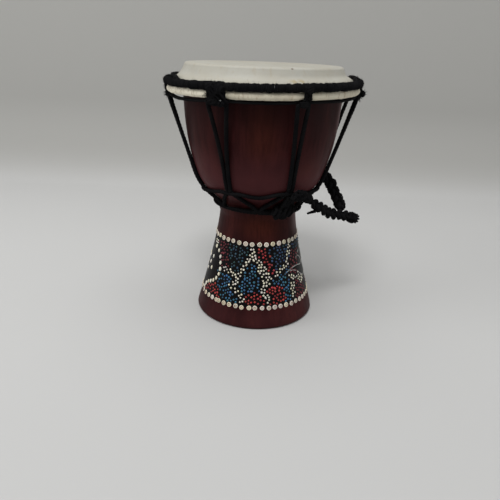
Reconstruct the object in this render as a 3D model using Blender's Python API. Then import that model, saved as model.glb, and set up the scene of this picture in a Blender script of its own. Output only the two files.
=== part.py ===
# A small goblet drum (djembe): a turned wooden shell with a goatskin head. The skin is rolled round
# a flesh hoop, a wound crown ring presses it down, and cord hitched over both rings runs down
# the bowl to a ring of cord round the waist. A plaited loop for carrying hangs from the pull cord.
# Metres, +Z up. The drum stands on its foot, with the origin under its middle at floor level.
# Azimuths are in degrees from the front (-Y), growing towards the right (+X).

import math

import bmesh
import bpy
from mathutils import Matrix, Vector

mm = 0.001

# Gap kept between pieces that touch.
clearance = 0.3 * mm
# Flats round each turned piece. They share it, so that nested rings stay clear of each other.
flats_around = 48

# Wooden shell, outside.
foot_radius = 49.6 * mm
foot_round = 2.6 * mm
waist_radius = 31.1 * mm
waist_height = 86.0 * mm
bowl_radius = 60.4 * mm
shell_height = 198.9 * mm
# The shoulder is where the bowl is widest. Above it the side leans in by rim_inset.
shoulder_depth = 20.9 * mm
bowl_height = shell_height - shoulder_depth
rim_inset = 1.8 * mm
rim_radius = bowl_radius - rim_inset
rim_round = 1.5 * mm
# How fast the foot flares: 1 is a straight cone, more is a trumpet.
foot_flare = 1.3
# The bowl's side from the waist up: share of the height, share of the radius gained.
bowl_side = [(0.0, 0.0), (0.087, 0.085), (0.152, 0.19), (0.239, 0.44), (0.326, 0.618),
             (0.457, 0.758), (0.63, 0.887), (0.804, 0.959), (1.0, 1.0)]

# Wooden shell, inside.
bowl_wall = 5.5 * mm
bowl_floor_height = 96.0 * mm
throat_radius = 19.0 * mm
foot_wall = 6.0 * mm
foot_hollow_height = 70.0 * mm

# Skin, rolled round the flesh hoop, which stands off the bowl and has been pulled down its side.
skin_thickness = 0.8 * mm
hoop_wire_radius = 1.6 * mm
roll_radius = hoop_wire_radius + clearance + skin_thickness
hoop_standoff = 6.7 * mm
hoop_radius = bowl_radius + hoop_standoff + roll_radius
hoop_drop = 16.2 * mm
hoop_height = shell_height - hoop_drop

# Crown ring: a steel wire ring in a wound sleeve. It presses on the rolled skin from above and
# a little outside.
crown_wire_radius = 1.7 * mm
crown_wrap_thickness = 0.7 * mm
crown_wrap_radius = crown_wire_radius + clearance + crown_wrap_thickness
crown_overhang = 2.1 * mm
crown_radius = hoop_radius + crown_overhang
crown_height = hoop_height + math.sqrt((roll_radius + crown_wrap_radius + clearance) ** 2 - crown_overhang ** 2)
# Both rings sit a little higher on the right: rise for each metre towards +X.
ring_slope = 0.016
# The skirt takes up the slope over this height, and is level this far above the crown ring.
level_above_crown = 7.0 * mm
slope_blend = 5.0 * mm

# Cords.
lace_diameter = 2.6 * mm
pull_diameter = 2.6 * mm
waist_ring_diameter = 2.8 * mm
hoop_cord_diameter = 1.6 * mm
hitch_thickness = 1.5 * mm
# A hitch's knot: how far it stands out from the hoop's middle and how long it is below the hoop.
hitch_knot_out = 1.9 * mm
hitch_knot_length = 3.8 * mm
hitch_knot_spread = 0.1
# Height on the shell where the laces come to lie on the bowl.
lace_contact_height = 128.0 * mm
# Height of the pull cord between the pairs of laces. Each pair lifts it by its own rise.
pull_height = 109.0 * mm
# Height of the waist ring, and how much it climbs towards the azimuth where it is highest.
waist_ring_height = 93.2 * mm
waist_ring_climb = 2.2 * mm
waist_ring_top_azimuth = -50.0
# Share of the way down to the pull cord at which a pair of laces has come together.
pair_merge = 0.72

# Where the cord is hitched over the rings, and where the pull cord draws each pair together.
# legs are the azimuths at which the two laces leave the hitch.
hitches = [
    {"name": "left", "azimuth": -83.0, "legs": (-88.0, -78.0), "pinch": -70.0, "width": 5.0 * mm, "rise": -1.0 * mm},
    {"name": "front_left", "azimuth": -24.8, "legs": (-30.2, -19.2), "pinch": -26.0, "width": 11.6 * mm,
     "rise": 3.5 * mm},
    {"name": "front_right", "azimuth": 22.4, "legs": (19.0, 25.2), "pinch": 27.0, "width": 4.8 * mm,
     "rise": 5.0 * mm},
    {"name": "right", "azimuth": 84.5, "legs": (81.0, 88.0), "pinch": 72.0, "width": 6.0 * mm, "rise": 2.0 * mm},
    {"name": "rear_right", "azimuth": 109.0, "legs": (105.0, 113.0), "pinch": 105.0, "width": 5.0 * mm,
     "rise": 1.0 * mm},
    {"name": "rear", "azimuth": 165.0, "legs": (160.0, 170.0), "pinch": 160.0, "width": 5.0 * mm, "rise": 1.0 * mm},
    {"name": "rear_left", "azimuth": 221.0, "legs": (216.0, 226.0), "pinch": 224.0, "width": 5.0 * mm, "rise": 0.0},
]

# Knots, as half sizes along the cord, out from the shell and upwards. One ties off the waist ring.
# The other binds the pull cord over a pair of laces beside the carrying loop's front collar.
waist_knot_azimuth = 22.4
waist_knot_height = 96.0 * mm
waist_knot_size = (10.6 * mm, 3.8 * mm, 5.4 * mm)
pull_knot_azimuth = 32.6
pull_knot_height = 115.0 * mm
pull_knot_size = (6.6 * mm, 3.4 * mm, 4.6 * mm)

# Carrying loop: two plaits that start in wound collars and meet in a tip knot.
plait_diameter = 8.0 * mm
collar_radius = 4.8 * mm
front_collar_azimuth = 48.0
rear_collar_azimuth = 127.0
collar_height = 110.0 * mm
# The plaits' routes past their collars, chosen by hand.
front_plait_route = [(42.4, -27.0, 101.4), (50.5, -20.0, 94.8), (58.6, -11.6, 88.8), (67.2, -4.2, 86.0),
                     (74.6, 0.6, 83.0)]
rear_plait_route = [(48.0, 27.4, 109.6), (54.4, 25.0, 110.4), (59.6, 21.0, 107.4), (62.6, 16.2, 102.0),
                    (65.6, 10.2, 96.6), (68.4, 3.0, 91.2)]
tip_knot_size = (5.6 * mm, 5.0 * mm, 5.2 * mm)
loose_end_diameter = 1.8 * mm
loose_end_length = 9.0 * mm


def clear_scene():
    for old in list(bpy.data.objects):
        bpy.data.objects.remove(old, do_unlink=True)


def make_material(name, colour, roughness, metallic=0.0):
    material = bpy.data.materials.new(name)
    material.use_nodes = True
    shader = material.node_tree.nodes["Principled BSDF"]
    shader.inputs["Base Color"].default_value = (*colour, 1.0)
    shader.inputs["Roughness"].default_value = roughness
    shader.inputs["Metallic"].default_value = metallic
    return material


def place(radius, azimuth, height):
    """The point at this distance from the drum's axis, azimuth in degrees and height."""
    turn = math.radians(azimuth)
    return Vector((radius * math.sin(turn), -radius * math.cos(turn), height))


def ease(share):
    """A smooth step from 0 to 1."""
    share = min(max(share, 0.0), 1.0)
    return share * share * (3.0 - 2.0 * share)


def lean(point, weight=1.0):
    """Lifts a point on the rings by their slope towards the right."""
    return Vector((point.x, point.y, point.z + ring_slope * point.x * weight))


# Shell outline.

def read_stations(stations, x):
    """A smooth curve through the stations that never overshoots them, read at x."""
    x = min(max(x, stations[0][0]), stations[-1][0])
    slopes = [(b[1] - a[1]) / (b[0] - a[0]) for a, b in zip(stations, stations[1:])]
    tangents = [slopes[0]]
    for before, after in zip(slopes, slopes[1:]):
        tangents.append(2.0 * before * after / (before + after) if before * after > 0.0 else 0.0)
    tangents.append(slopes[-1])
    for i, (a, b) in enumerate(zip(stations, stations[1:])):
        if x <= b[0]:
            break
    span = b[0] - a[0]
    t = (x - a[0]) / span
    return ((2 * t ** 3 - 3 * t ** 2 + 1) * a[1] + (t ** 3 - 2 * t ** 2 + t) * span * tangents[i]
            + (3 * t ** 2 - 2 * t ** 3) * b[1] + (t ** 3 - t ** 2) * span * tangents[i + 1])


def outer_radius(height):
    """The shell's outside radius at this height."""
    if height < waist_height:
        share = max(height - foot_round, 0.0) / (waist_height - foot_round)
        return waist_radius + (foot_radius - waist_radius) * (1.0 - share) ** foot_flare
    if height < bowl_height:
        share = (height - waist_height) / (bowl_height - waist_height)
        return waist_radius + (bowl_radius - waist_radius) * read_stations(bowl_side, share)
    share = (height - bowl_height) / (shell_height - bowl_height)
    return bowl_radius - (bowl_radius - rim_radius) * share ** 2


def on_shell(azimuth, height, lift):
    """The point that stands off the shell's outside by lift, square to its surface."""
    step = 0.5 * mm
    slope = (outer_radius(height + step) - outer_radius(height - step)) / (2.0 * step)
    scale = math.hypot(1.0, slope)
    return place(outer_radius(height) + lift / scale, azimuth, height - lift * slope / scale)


def arc(centre, radius, start, end, steps):
    """Points on an arc in the outline's plane, angles in degrees from straight out."""
    points = []
    for i in range(steps + 1):
        turn = math.radians(start + (end - start) * i / steps)
        points.append((centre[0] + radius * math.cos(turn), centre[1] + radius * math.sin(turn)))
    return points


def shell_outline():
    """The shell's section as a closed loop, up the outside and down the inside."""
    outline = arc((foot_radius - foot_round, foot_round), foot_round, -90.0, 0.0, 3)
    for share in (0.08, 0.2, 0.35, 0.5, 0.68, 0.86):
        height = foot_round + share * (waist_height - foot_round)
        outline.append((outer_radius(height), height))
    for share, _ in bowl_side:
        height = waist_height + share * (bowl_height - waist_height)
        outline.append((outer_radius(height), height))
    outline += arc((rim_radius - rim_round, shell_height - rim_round), rim_round, 0.0, 90.0, 2)
    outline += arc((rim_radius - bowl_wall + rim_round, shell_height - rim_round), rim_round, 90.0, 180.0, 2)
    inner_radius = bowl_radius - bowl_wall
    depth = bowl_height - bowl_floor_height
    throat_angle = math.acos(throat_radius / inner_radius)
    for share in (0.0, 0.3, 0.5, 0.68, 0.84, 1.0):
        turn = throat_angle * share
        outline.append((inner_radius * math.cos(turn), bowl_height - depth * math.sin(turn)))
    for share in (1.0, 0.75, 0.5, 0.25):
        flare = (foot_radius - foot_wall - throat_radius) * (1.0 - share) ** foot_flare
        outline.append((throat_radius + flare, foot_hollow_height * share))
    outline.append((foot_radius - foot_wall, 0.0))
    return outline


# Mesh builders.

def add_mesh(name, vertices, faces, material, parent):
    """A mesh object in its parent's space, from points in the drum's space."""
    mesh = bpy.data.meshes.new(name)
    mesh.from_pydata([Vector(v) - parent.location for v in vertices], [], faces)
    shaper = bmesh.new()
    shaper.from_mesh(mesh)
    bmesh.ops.recalc_face_normals(shaper, faces=shaper.faces)
    shaper.to_mesh(mesh)
    shaper.free()
    mesh.shade_smooth()
    mesh.set_sharp_from_angle(angle=math.radians(50.0))
    mesh.materials.append(material)
    piece = bpy.data.objects.new(name, mesh)
    bpy.context.collection.objects.link(piece)
    piece.parent = parent
    return piece


def turned(name, outline, material, parent, weight_at=None):
    """A turned solid from a closed outline. weight_at gives how far each height follows the rings."""
    vertices = []
    rings = []
    for radius, height in outline:
        count = 1 if radius < 0.01 * mm else flats_around
        ring = []
        for i in range(count):
            point = place(radius if count > 1 else 0.0, 360.0 * i / flats_around, height)
            ring.append(len(vertices))
            vertices.append(lean(point, weight_at(height)) if weight_at else point)
        rings.append(ring)
    faces = []
    for lower, upper in zip(rings, rings[1:] + rings[:1]):
        if len(lower) == 1 and len(upper) == 1:
            continue
        for i in range(flats_around):
            j = (i + 1) % flats_around
            if len(lower) == 1:
                faces.append((lower[0], upper[j], upper[i]))
            elif len(upper) == 1:
                faces.append((lower[i], lower[j], upper[0]))
            else:
                faces.append((lower[i], lower[j], upper[j], upper[i]))
    return add_mesh(name, vertices, faces, material, parent)


def thicken(path, thickness):
    """A closed outline of even thickness along an open path in the outline's plane."""
    one_side, other_side = [], []
    for i, (radius, height) in enumerate(path):
        before = path[max(i - 1, 0)]
        after = path[min(i + 1, len(path) - 1)]
        along = Vector((after[0] - before[0], after[1] - before[1])).normalized()
        half = thickness / 2.0
        if radius == 0.0:
            along = Vector((1.0, 0.0))
        one_side.append((radius - along.y * half, height + along.x * half))
        other_side.append((radius + along.y * half, height - along.x * half))
    return one_side + other_side[::-1]


def cord(name, points, diameter, material, parent, closed=False):
    """A round cord along the points."""
    curve = bpy.data.curves.new(name, "CURVE")
    curve.dimensions = "3D"
    curve.bevel_depth = diameter / 2.0
    curve.bevel_resolution = 2
    curve.use_fill_caps = not closed
    line = curve.splines.new("POLY")
    line.points.add(len(points) - 1)
    for knob, point in zip(line.points, points):
        knob.co = (*(Vector(point) - parent.location), 1.0)
    line.use_cyclic_u = closed
    curve.materials.append(material)
    piece = bpy.data.objects.new(name, curve)
    bpy.context.collection.objects.link(piece)
    piece.parent = parent
    return piece


def knot(name, centre, side, out, size, turns, material, parent):
    """A rounded knot of wound cord: an egg with shallow grooves, inside the given half sizes."""
    side = side.normalized()
    out = (out - side * out.dot(side)).normalized()
    up = side.cross(out)
    rows, columns = 9, 14
    groove = 0.16
    vertices = []
    for row in range(rows + 1):
        for column in range(columns if 0 < row < rows else 1):
            tilt = math.pi * row / rows
            turn = 2.0 * math.pi * column / columns
            dip = groove * 0.5 * (1.0 - math.cos(turns * turn + 2.0 * tilt)) * math.sin(tilt)
            reach = 1.0 - dip
            offset = (side * size[0] * math.cos(tilt) + out * size[1] * math.sin(tilt) * math.cos(turn)
                      + up * size[2] * math.sin(tilt) * math.sin(turn))
            vertices.append(centre + offset * reach)
    faces = []
    for row in range(rows):
        for column in range(columns):
            following = (column + 1) % columns
            upper = 1 + (row - 1) * columns
            lower = upper + columns
            if row == 0:
                faces.append((0, 1 + column, 1 + following))
            elif row == rows - 1:
                faces.append((upper + column, len(vertices) - 1, upper + following))
            else:
                faces.append((upper + column, lower + column, lower + following, upper + following))
    return add_mesh(name, vertices, faces, material, parent)


# Head.

def skin_weight(height):
    """The skin follows the rings' slope below the bearing edge, and is level on top."""
    return ease((crown_height + level_above_crown - height) / slope_blend)


def skin_path():
    """The middle of the skin: over the head, down the skirt and round the flesh hoop."""
    half = skin_thickness / 2.0
    lift = clearance + half
    corner = (rim_radius - rim_round, shell_height - rim_round)
    path = [(0.0, shell_height + lift), (rim_radius * 0.55, shell_height + lift)]
    path += arc(corner, rim_round + lift, 90.0, 10.0, 3)
    skirt_top = path[-1]
    turn_in = 128.0
    roll_middle = roll_radius - half
    roll = arc((hoop_radius, hoop_height), roll_middle, turn_in, turn_in - 320.0, 9)
    skirt_foot = roll[0]
    for share_out, share_down in ((0.17, 0.25), (0.36, 0.4), (0.72, 0.58), (0.93, 0.76)):
        path.append((skirt_top[0] + (skirt_foot[0] - skirt_top[0]) * share_out,
                     skirt_top[1] + (skirt_foot[1] - skirt_top[1]) * share_down))
    return path + roll


def build_head(materials, drum):
    turned("drum_skin", thicken(skin_path(), skin_thickness), materials["skin"], drum, skin_weight)
    always = lambda height: 1.0
    wire = arc((hoop_radius, hoop_height), hoop_wire_radius, 0.0, 300.0, 5)
    turned("flesh_hoop", wire, materials["steel"], drum, always)
    wire = arc((crown_radius, crown_height), crown_wire_radius, 0.0, 300.0, 5)
    turned("crown_ring", wire, materials["steel"], drum, always)
    middle = crown_wrap_radius - crown_wrap_thickness / 2.0
    sleeve = arc((crown_radius, crown_height), middle, 215.0, -115.0, 7)
    turned("crown_ring_wrap", thicken(sleeve, crown_wrap_thickness), materials["wrap"], drum, always)


# Hitches and lacing.

def hitch_line():
    """A hitch's middle line: radius, height and how much of the knot's swelling it has."""
    over_crown = crown_wrap_radius + clearance + hitch_thickness / 2.0
    over_hoop = roll_radius + clearance + hitch_thickness / 2.0
    line = [(*p, 0.0) for p in arc((crown_radius, crown_height), over_crown, 140.0, 5.0, 5)]
    line += [(*p, 0.0) for p in arc((hoop_radius, hoop_height), over_hoop, -5.0, -45.0, 2)]
    for out, down, knotted in ((1.0, 0.24, 1.0), (0.58, 0.68, 1.0), (0.32, 1.0, 0.0)):
        line.append((hoop_radius + hitch_knot_out * out,
                     hoop_height - roll_radius - hitch_knot_length * down, knotted))
    return line


def hitch_foot():
    """The radius and height of a hitch's lower end."""
    radius, height, _ = hitch_line()[-1]
    return radius, height


def build_hitch(hitch, material, drum):
    """Cord wound over both rings at one place, swelling into a knot below the hoop."""
    line = hitch_line()
    sides = 10
    swell = 2.1
    turn = math.radians(hitch["azimuth"])
    side = Vector((math.cos(turn), math.sin(turn), 0.0))
    centres = [place(radius, hitch["azimuth"], height) for radius, height, _ in line]
    vertices = []
    for i, centre in enumerate(centres):
        along = (centres[min(i + 1, len(line) - 1)] - centres[max(i - 1, 0)]).normalized()
        out = along.cross(side)
        knotted = line[i][2]
        half_width = hitch["width"] / 2.0 * (1.0 + hitch_knot_spread * knotted)
        half_depth = hitch_thickness / 2.0 * (1.0 + (swell - 1.0) * knotted)
        for j in range(sides):
            angle = 2.0 * math.pi * (j + 0.5) / sides
            offset = side * half_width * math.cos(angle) + out * half_depth * math.sin(angle)
            vertices.append(lean(centre + offset))
    faces = [tuple(range(sides)), tuple(range(len(vertices) - sides, len(vertices)))]
    for i in range(len(line) - 1):
        for j in range(sides):
            following = (j + 1) % sides
            faces.append((i * sides + j, i * sides + following,
                          (i + 1) * sides + following, (i + 1) * sides + j))
    add_mesh("hitch_" + hitch["name"], vertices, faces, material, drum)


def half_angle(width, radius):
    """The azimuth that half of a width takes up at a radius, in degrees."""
    return math.degrees(width / 2.0 / radius)


def build_hoop_cord(hitch, following, material, drum):
    """Thin cord under the flesh hoop, from one hitch's knot to the next."""
    radius = hoop_radius
    height = hoop_height - roll_radius - clearance - hoop_cord_diameter / 2.0
    spread = 1.0 + hitch_knot_spread
    start = hitch["azimuth"] + half_angle(hitch["width"] * spread + 2.0 * clearance, radius)
    end = following["azimuth"] - half_angle(following["width"] * spread + 2.0 * clearance, radius)
    steps = max(2, round((end - start) / 8.0))
    points = []
    for i in range(steps + 1):
        azimuth = start + (end - start) * i / steps
        points.append(lean(place(radius, azimuth, height)))
    cord("hoop_cord_" + hitch["name"], points, hoop_cord_diameter, material, drum)


def pinch_height(hitch):
    return pull_height + hitch["rise"]


def waist_ring_at(azimuth):
    """The height at which the waist ring crosses this azimuth."""
    return waist_ring_height + waist_ring_climb * math.cos(math.radians(azimuth - waist_ring_top_azimuth))


def lace_points(hitch, neighbour_pinch, side):
    """One lace's route: side is -1 for the hitch's left leg and 1 for its right leg."""
    lift = lace_diameter / 2.0 + clearance
    start_radius, start_height = hitch_foot()
    start_height -= lace_diameter / 4.0 + clearance
    low = pinch_height(hitch)
    pinch_radius = outer_radius(low) + lift
    paired = side * half_angle(lace_diameter + clearance, pinch_radius)
    middle = sum(hitch["legs"]) / 2.0
    spread = (hitch["legs"][0] if side < 0 else hitch["legs"][1]) - middle

    def azimuth_at(height):
        share = min(max((start_height - height) / (start_height - low), 0.0), 1.0)
        apart = max(0.0, 1.0 - share / pair_merge) ** 1.3
        return middle + (hitch["pinch"] - middle) * share ** 1.2 + paired + (spread - paired) * apart

    contact = on_shell(0.0, lace_contact_height, lift)
    contact_radius = math.hypot(contact.x, contact.y)
    points = []
    for share in (0.0, 0.25, 0.5, 0.75):
        height = start_height + (contact.z - start_height) * share
        radius = max(start_radius + (contact_radius - start_radius) * share, outer_radius(height) + lift)
        weight = 1.0 - ease(share)
        points.append(lean(place(radius, azimuth_at(height), height), weight))
    steps = 4
    for i in range(steps + 1):
        height = lace_contact_height + (low - lace_contact_height) * i / steps
        points.append(on_shell(azimuth_at(height), height, lift))
    foot_azimuth = (hitch["pinch"] + neighbour_pinch) / 2.0
    foot_height = waist_ring_at(foot_azimuth) + (waist_ring_diameter + lace_diameter) / 2.0 + clearance
    foot_azimuth -= side * half_angle(lace_diameter + 2.0 * clearance, outer_radius(foot_height) + lift)
    start = azimuth_at(low)
    for share in (0.25, 0.5, 0.75, 1.0):
        height = low + (foot_height - low) * share
        points.append(on_shell(start + (foot_azimuth - start) * share, height, lift))
    return points


def build_laces(materials, drum):
    for i, hitch in enumerate(hitches):
        before = hitches[i - 1]["pinch"] - (360.0 if i == 0 else 0.0)
        following = hitches[(i + 1) % len(hitches)]
        after = following["pinch"] + (360.0 if following is hitches[0] else 0.0)
        name = "lace_" + hitch["name"]
        cord(name + "_a", lace_points(hitch, before, -1), lace_diameter, materials["cord"], drum)
        cord(name + "_b", lace_points(hitch, after, 1), lace_diameter, materials["cord"], drum)


def pull_point(azimuth):
    """The pull cord's middle at an azimuth: on the bowl, and out over each pair of laces."""
    base = pull_diameter / 2.0 + clearance
    over = lace_diameter + clearance
    rise, bump = 0.0, 0.0
    for hitch in hitches:
        away = abs((azimuth - hitch["pinch"] + 180.0) % 360.0 - 180.0)
        bump = max(bump, ease((11.5 - away) / 6.5))
        rise += hitch["rise"] * ease(1.0 - away / 34.0)
    return on_shell(azimuth, pull_height + rise, base + over * bump)


def build_pull_cord(name, start, end, material, drum):
    """A stretch of the pull cord between two collars of the carrying loop."""
    azimuths = {start, end}
    for hitch in hitches:
        for turns in (-360.0, 0.0, 360.0):
            for offset in (-11.5, -8.2, -5.0, 0.0, 5.0, 8.2, 11.5):
                azimuths.add(hitch["pinch"] + turns + offset)
    kept = sorted(a for a in azimuths if start <= a <= end)
    points = []
    for here, following in zip(kept, kept[1:] + [None]):
        points.append(pull_point(here))
        if following is None:
            break
        extra = int((following - here) / 9.0)
        for i in range(extra):
            points.append(pull_point(here + (following - here) * (i + 1) / (extra + 1)))
    cord(name, points, pull_diameter, material, drum)


def build_waist_ring(material, drum):
    lift = waist_ring_diameter / 2.0 + clearance
    points = []
    for i in range(40):
        azimuth = 360.0 * i / 40
        points.append(on_shell(azimuth, waist_ring_at(azimuth), lift))
    cord("waist_ring", points, waist_ring_diameter, material, drum, closed=True)
    radius = outer_radius(waist_ring_at(waist_knot_azimuth)) + waist_ring_diameter
    centre = place(radius + waist_knot_size[1], waist_knot_azimuth, waist_knot_height)
    side = place(1.0, waist_knot_azimuth + 90.0, 0.0)
    knot("waist_knot", centre, side, place(1.0, waist_knot_azimuth, 0.0), waist_knot_size, 3, material, drum)


def build_pull_knot(material, drum):
    """Wraps round the pull cord where it crosses the pair of laces next to the front collar."""
    lift = lace_diameter + 2.0 * clearance + pull_knot_size[1]
    foot = on_shell(pull_knot_azimuth, pull_knot_height, 0.0)
    centre = on_shell(pull_knot_azimuth, pull_knot_height, lift)
    side = place(1.0, pull_knot_azimuth + 90.0, 0.0)
    knot("pull_knot", centre, side, centre - foot, pull_knot_size, 3, material, drum)


# Carrying loop.

def collar_centre(azimuth):
    return on_shell(azimuth, collar_height, collar_radius + clearance)


def smooth_route(route, spacing):
    """Points read from a smooth curve through the route, about spacing apart."""
    points = []
    ends = [route[0] * 2.0 - route[1]] + route + [route[-1] * 2.0 - route[-2]]
    for p0, p1, p2, p3 in zip(ends, ends[1:], ends[2:], ends[3:]):
        steps = max(1, round((p2 - p1).length / spacing))
        for i in range(steps):
            t = i / steps
            points.append(0.5 * (2.0 * p1 + (p2 - p0) * t + (2.0 * p0 - 5.0 * p1 + 4.0 * p2 - p3) * t ** 2
                                 + (3.0 * p1 - p0 - 3.0 * p2 + p3) * t ** 3))
    return points + [route[-1]]


def build_collar(name, centre, axis, material, pivot):
    """Cord wound round the loop's swing axis: a ball that turns in place."""
    turns = 4
    rows, columns = 12, 16
    side = axis.orthogonal().normalized()
    other = axis.cross(side)
    vertices = []
    for row in range(rows + 1):
        tilt = math.pi * row / rows
        groove = 0.93 + 0.07 * math.cos(2.0 * math.pi * turns * row / rows)
        for column in range(columns if 0 < row < rows else 1):
            turn = 2.0 * math.pi * column / columns
            offset = (side * math.cos(turn) + other * math.sin(turn)) * math.sin(tilt) * groove
            vertices.append(centre + (axis * math.cos(tilt) + offset) * collar_radius)
    faces = []
    for row in range(rows):
        for column in range(columns):
            following = (column + 1) % columns
            upper = 1 + (row - 1) * columns
            lower = upper + columns
            if row == 0:
                faces.append((0, 1 + column, 1 + following))
            elif row == rows - 1:
                faces.append((upper + column, len(vertices) - 1, upper + following))
            else:
                faces.append((upper + column, lower + column, lower + following, upper + following))
    add_mesh(name, vertices, faces, material, pivot)


def leave_collar(centre, route):
    """The route with its start moved to just outside the collar."""
    points = [Vector(p) * mm for p in route]
    heading = (points[0] - centre).normalized()
    return [centre + heading * (collar_radius + clearance)] + points


def build_loop(materials):
    front = collar_centre(front_collar_azimuth)
    rear = collar_centre(rear_collar_azimuth)
    axis = (rear - front).normalized()
    pivot = bpy.data.objects.new("carry_loop_pivot", None)
    pivot.location = (front + rear) / 2.0
    bpy.context.collection.objects.link(pivot)
    build_collar("collar_front", front, axis, materials["cord"], pivot)
    build_collar("collar_rear", rear, axis, materials["cord"], pivot)
    front_route = leave_collar(front, front_plait_route)
    rear_route = leave_collar(rear, rear_plait_route)
    cord("plait_front", smooth_route(front_route, plait_diameter * 0.6), plait_diameter, materials["cord"], pivot)
    cord("plait_rear", smooth_route(rear_route, plait_diameter * 0.6), plait_diameter, materials["cord"], pivot)
    heading = (front_route[-1] - front_route[-2]).normalized()
    tip = front_route[-1] + heading * (tip_knot_size[0] + clearance)
    knot("tip_knot", tip, heading, Vector((0.0, 0.0, 1.0)), tip_knot_size, 3, materials["cord"], pivot)
    along = (front_route[2] - front_route[1]).normalized()
    under = Vector((-0.35, -0.2, -1.0))
    under = (under - along * under.dot(along)).normalized()
    start = (front_route[1] + front_route[2]) / 2.0 + under * (plait_diameter / 2.0 + 2.0 * clearance)
    stray = Vector((-0.75, -0.65, -0.06)).normalized()
    points = [start + stray * loose_end_length * share for share in (0.0, 0.35, 0.7, 1.0)]
    cord("loose_end", points, loose_end_diameter, materials["cord"], pivot)
    print("carrying loop swings about", [round(v, 5) for v in pivot.location], "axis",
          [round(v, 5) for v in axis])


def build():
    clear_scene()
    materials = {
        "wood": make_material("stained_wood", (0.075, 0.018, 0.018), 0.38),
        "skin": make_material("goatskin", (0.56, 0.52, 0.41), 0.6),
        "steel": make_material("steel_wire", (0.45, 0.45, 0.46), 0.4, 1.0),
        "wrap": make_material("crown_winding", (0.012, 0.012, 0.015), 0.95),
        "cord": make_material("black_cord", (0.01, 0.01, 0.012), 0.85),
    }
    drum = bpy.data.objects.new("drum", None)
    bpy.context.collection.objects.link(drum)
    turned("shell", shell_outline(), materials["wood"], drum)
    build_head(materials, drum)
    for i, hitch in enumerate(hitches):
        following = dict(hitches[(i + 1) % len(hitches)])
        if i == len(hitches) - 1:
            following["azimuth"] += 360.0
        build_hitch(hitch, materials["cord"], drum)
        build_hoop_cord(hitch, following, materials["cord"], drum)
    build_laces(materials, drum)
    gap = math.degrees((collar_radius + clearance) / outer_radius(pull_height))
    knot_radius = outer_radius(pull_knot_height) + lace_diameter + pull_knot_size[1]
    knot_gap = half_angle(2.0 * (pull_knot_size[0] + clearance), knot_radius)
    build_pull_cord("pull_cord_long", rear_collar_azimuth + gap, pull_knot_azimuth + 360.0 - knot_gap,
                    materials["cord"], drum)
    build_pull_cord("pull_cord_short", front_collar_azimuth + gap, rear_collar_azimuth - gap,
                    materials["cord"], drum)
    build_pull_knot(materials["cord"], drum)
    build_waist_ring(materials["cord"], drum)
    build_loop(materials)


build()
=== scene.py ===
import math
import random

import bpy
import numpy as np
from mathutils import Matrix, Vector, noise


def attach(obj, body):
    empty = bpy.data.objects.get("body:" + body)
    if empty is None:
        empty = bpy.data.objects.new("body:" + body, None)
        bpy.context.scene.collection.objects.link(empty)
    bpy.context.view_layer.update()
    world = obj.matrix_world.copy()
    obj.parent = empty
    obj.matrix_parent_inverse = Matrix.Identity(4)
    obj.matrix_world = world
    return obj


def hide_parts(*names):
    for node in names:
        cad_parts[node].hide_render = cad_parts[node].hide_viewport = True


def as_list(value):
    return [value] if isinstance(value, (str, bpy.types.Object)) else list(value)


noise.seed_set(7)  # otherwise noise_vector changes from run to run
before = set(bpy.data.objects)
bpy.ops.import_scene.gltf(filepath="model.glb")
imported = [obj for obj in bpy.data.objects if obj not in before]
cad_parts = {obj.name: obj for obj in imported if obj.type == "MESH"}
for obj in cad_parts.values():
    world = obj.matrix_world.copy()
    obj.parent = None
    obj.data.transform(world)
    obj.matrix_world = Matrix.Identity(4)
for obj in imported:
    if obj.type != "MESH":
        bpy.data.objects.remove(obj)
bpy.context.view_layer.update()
mm = 0.001
print("frame loaded:", len(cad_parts), "nodes")


# Camera, at the photograph's angle.
camera = {"lens": 36.72, "sensor": 36.0, "place": (0.0, -406.38 * mm, 212.86 * mm), "clip": (0.01, 20.0),
          "pitch": 0.38259, "roll": 0.03733, "yaw": -0.01306}


def newObject(name, data):
    made = bpy.data.objects.new(name, data)
    bpy.context.collection.objects.link(made)
    return made


def makeCamera():
    data = bpy.data.cameras.new("camera")
    data.lens, data.sensor_width = camera["lens"], camera["sensor"]
    data.clip_start, data.clip_end = camera["clip"]
    pitch, roll, yaw = camera["pitch"], camera["roll"], camera["yaw"]
    forward = Vector((math.sin(yaw) * math.cos(pitch), math.cos(yaw) * math.cos(pitch), -math.sin(pitch)))
    right = forward.cross(Vector((0, 0, 1))).normalized()
    up = right.cross(forward)
    across = right * math.cos(roll) + up * math.sin(roll)
    upright = up * math.cos(roll) - right * math.sin(roll)
    eye = newObject("camera", data)
    eye.matrix_world = Matrix.Translation(camera["place"]) @ Matrix((across, upright, -forward)).transposed().to_4x4()
    bpy.context.scene.camera = eye


makeCamera()


# The drum's main sizes, as in the CAD source. bowlSide is the bowl's outline in shares of its height and width.
shell = {"footRadius": 49.6 * mm, "footRound": 2.6 * mm, "waistRadius": 31.1 * mm, "waistHeight": 86.0 * mm,
         "bowlRadius": 60.4 * mm, "bowlHeight": 178.0 * mm, "rimRadius": 58.6 * mm, "rimRound": 1.5 * mm,
         "height": 198.9 * mm, "footFlare": 1.3, "bowlWall": 5.5 * mm, "bowlFloor": 96.0 * mm,
         "throatRadius": 19.0 * mm, "footWall": 6.0 * mm, "hollowHeight": 70.0 * mm, "flats": 240,
         "bowlSide": [(0.0, 0.0), (0.087, 0.085), (0.152, 0.19), (0.239, 0.44), (0.326, 0.618), (0.457, 0.758),
                      (0.63, 0.887), (0.804, 0.959), (1.0, 1.0)]}
# The rings' wires are given by radius and height.
rings = {"hoop": (69.8 * mm, 182.7 * mm), "crown": (71.9 * mm, 188.0 * mm), "skin": 0.8 * mm, "roll": 2.7 * mm,
         "crownWrap": 2.7 * mm, "slope": 0.016, "levelAbove": 7.0 * mm, "slopeBlend": 5.0 * mm, "gap": 0.3 * mm}


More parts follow.
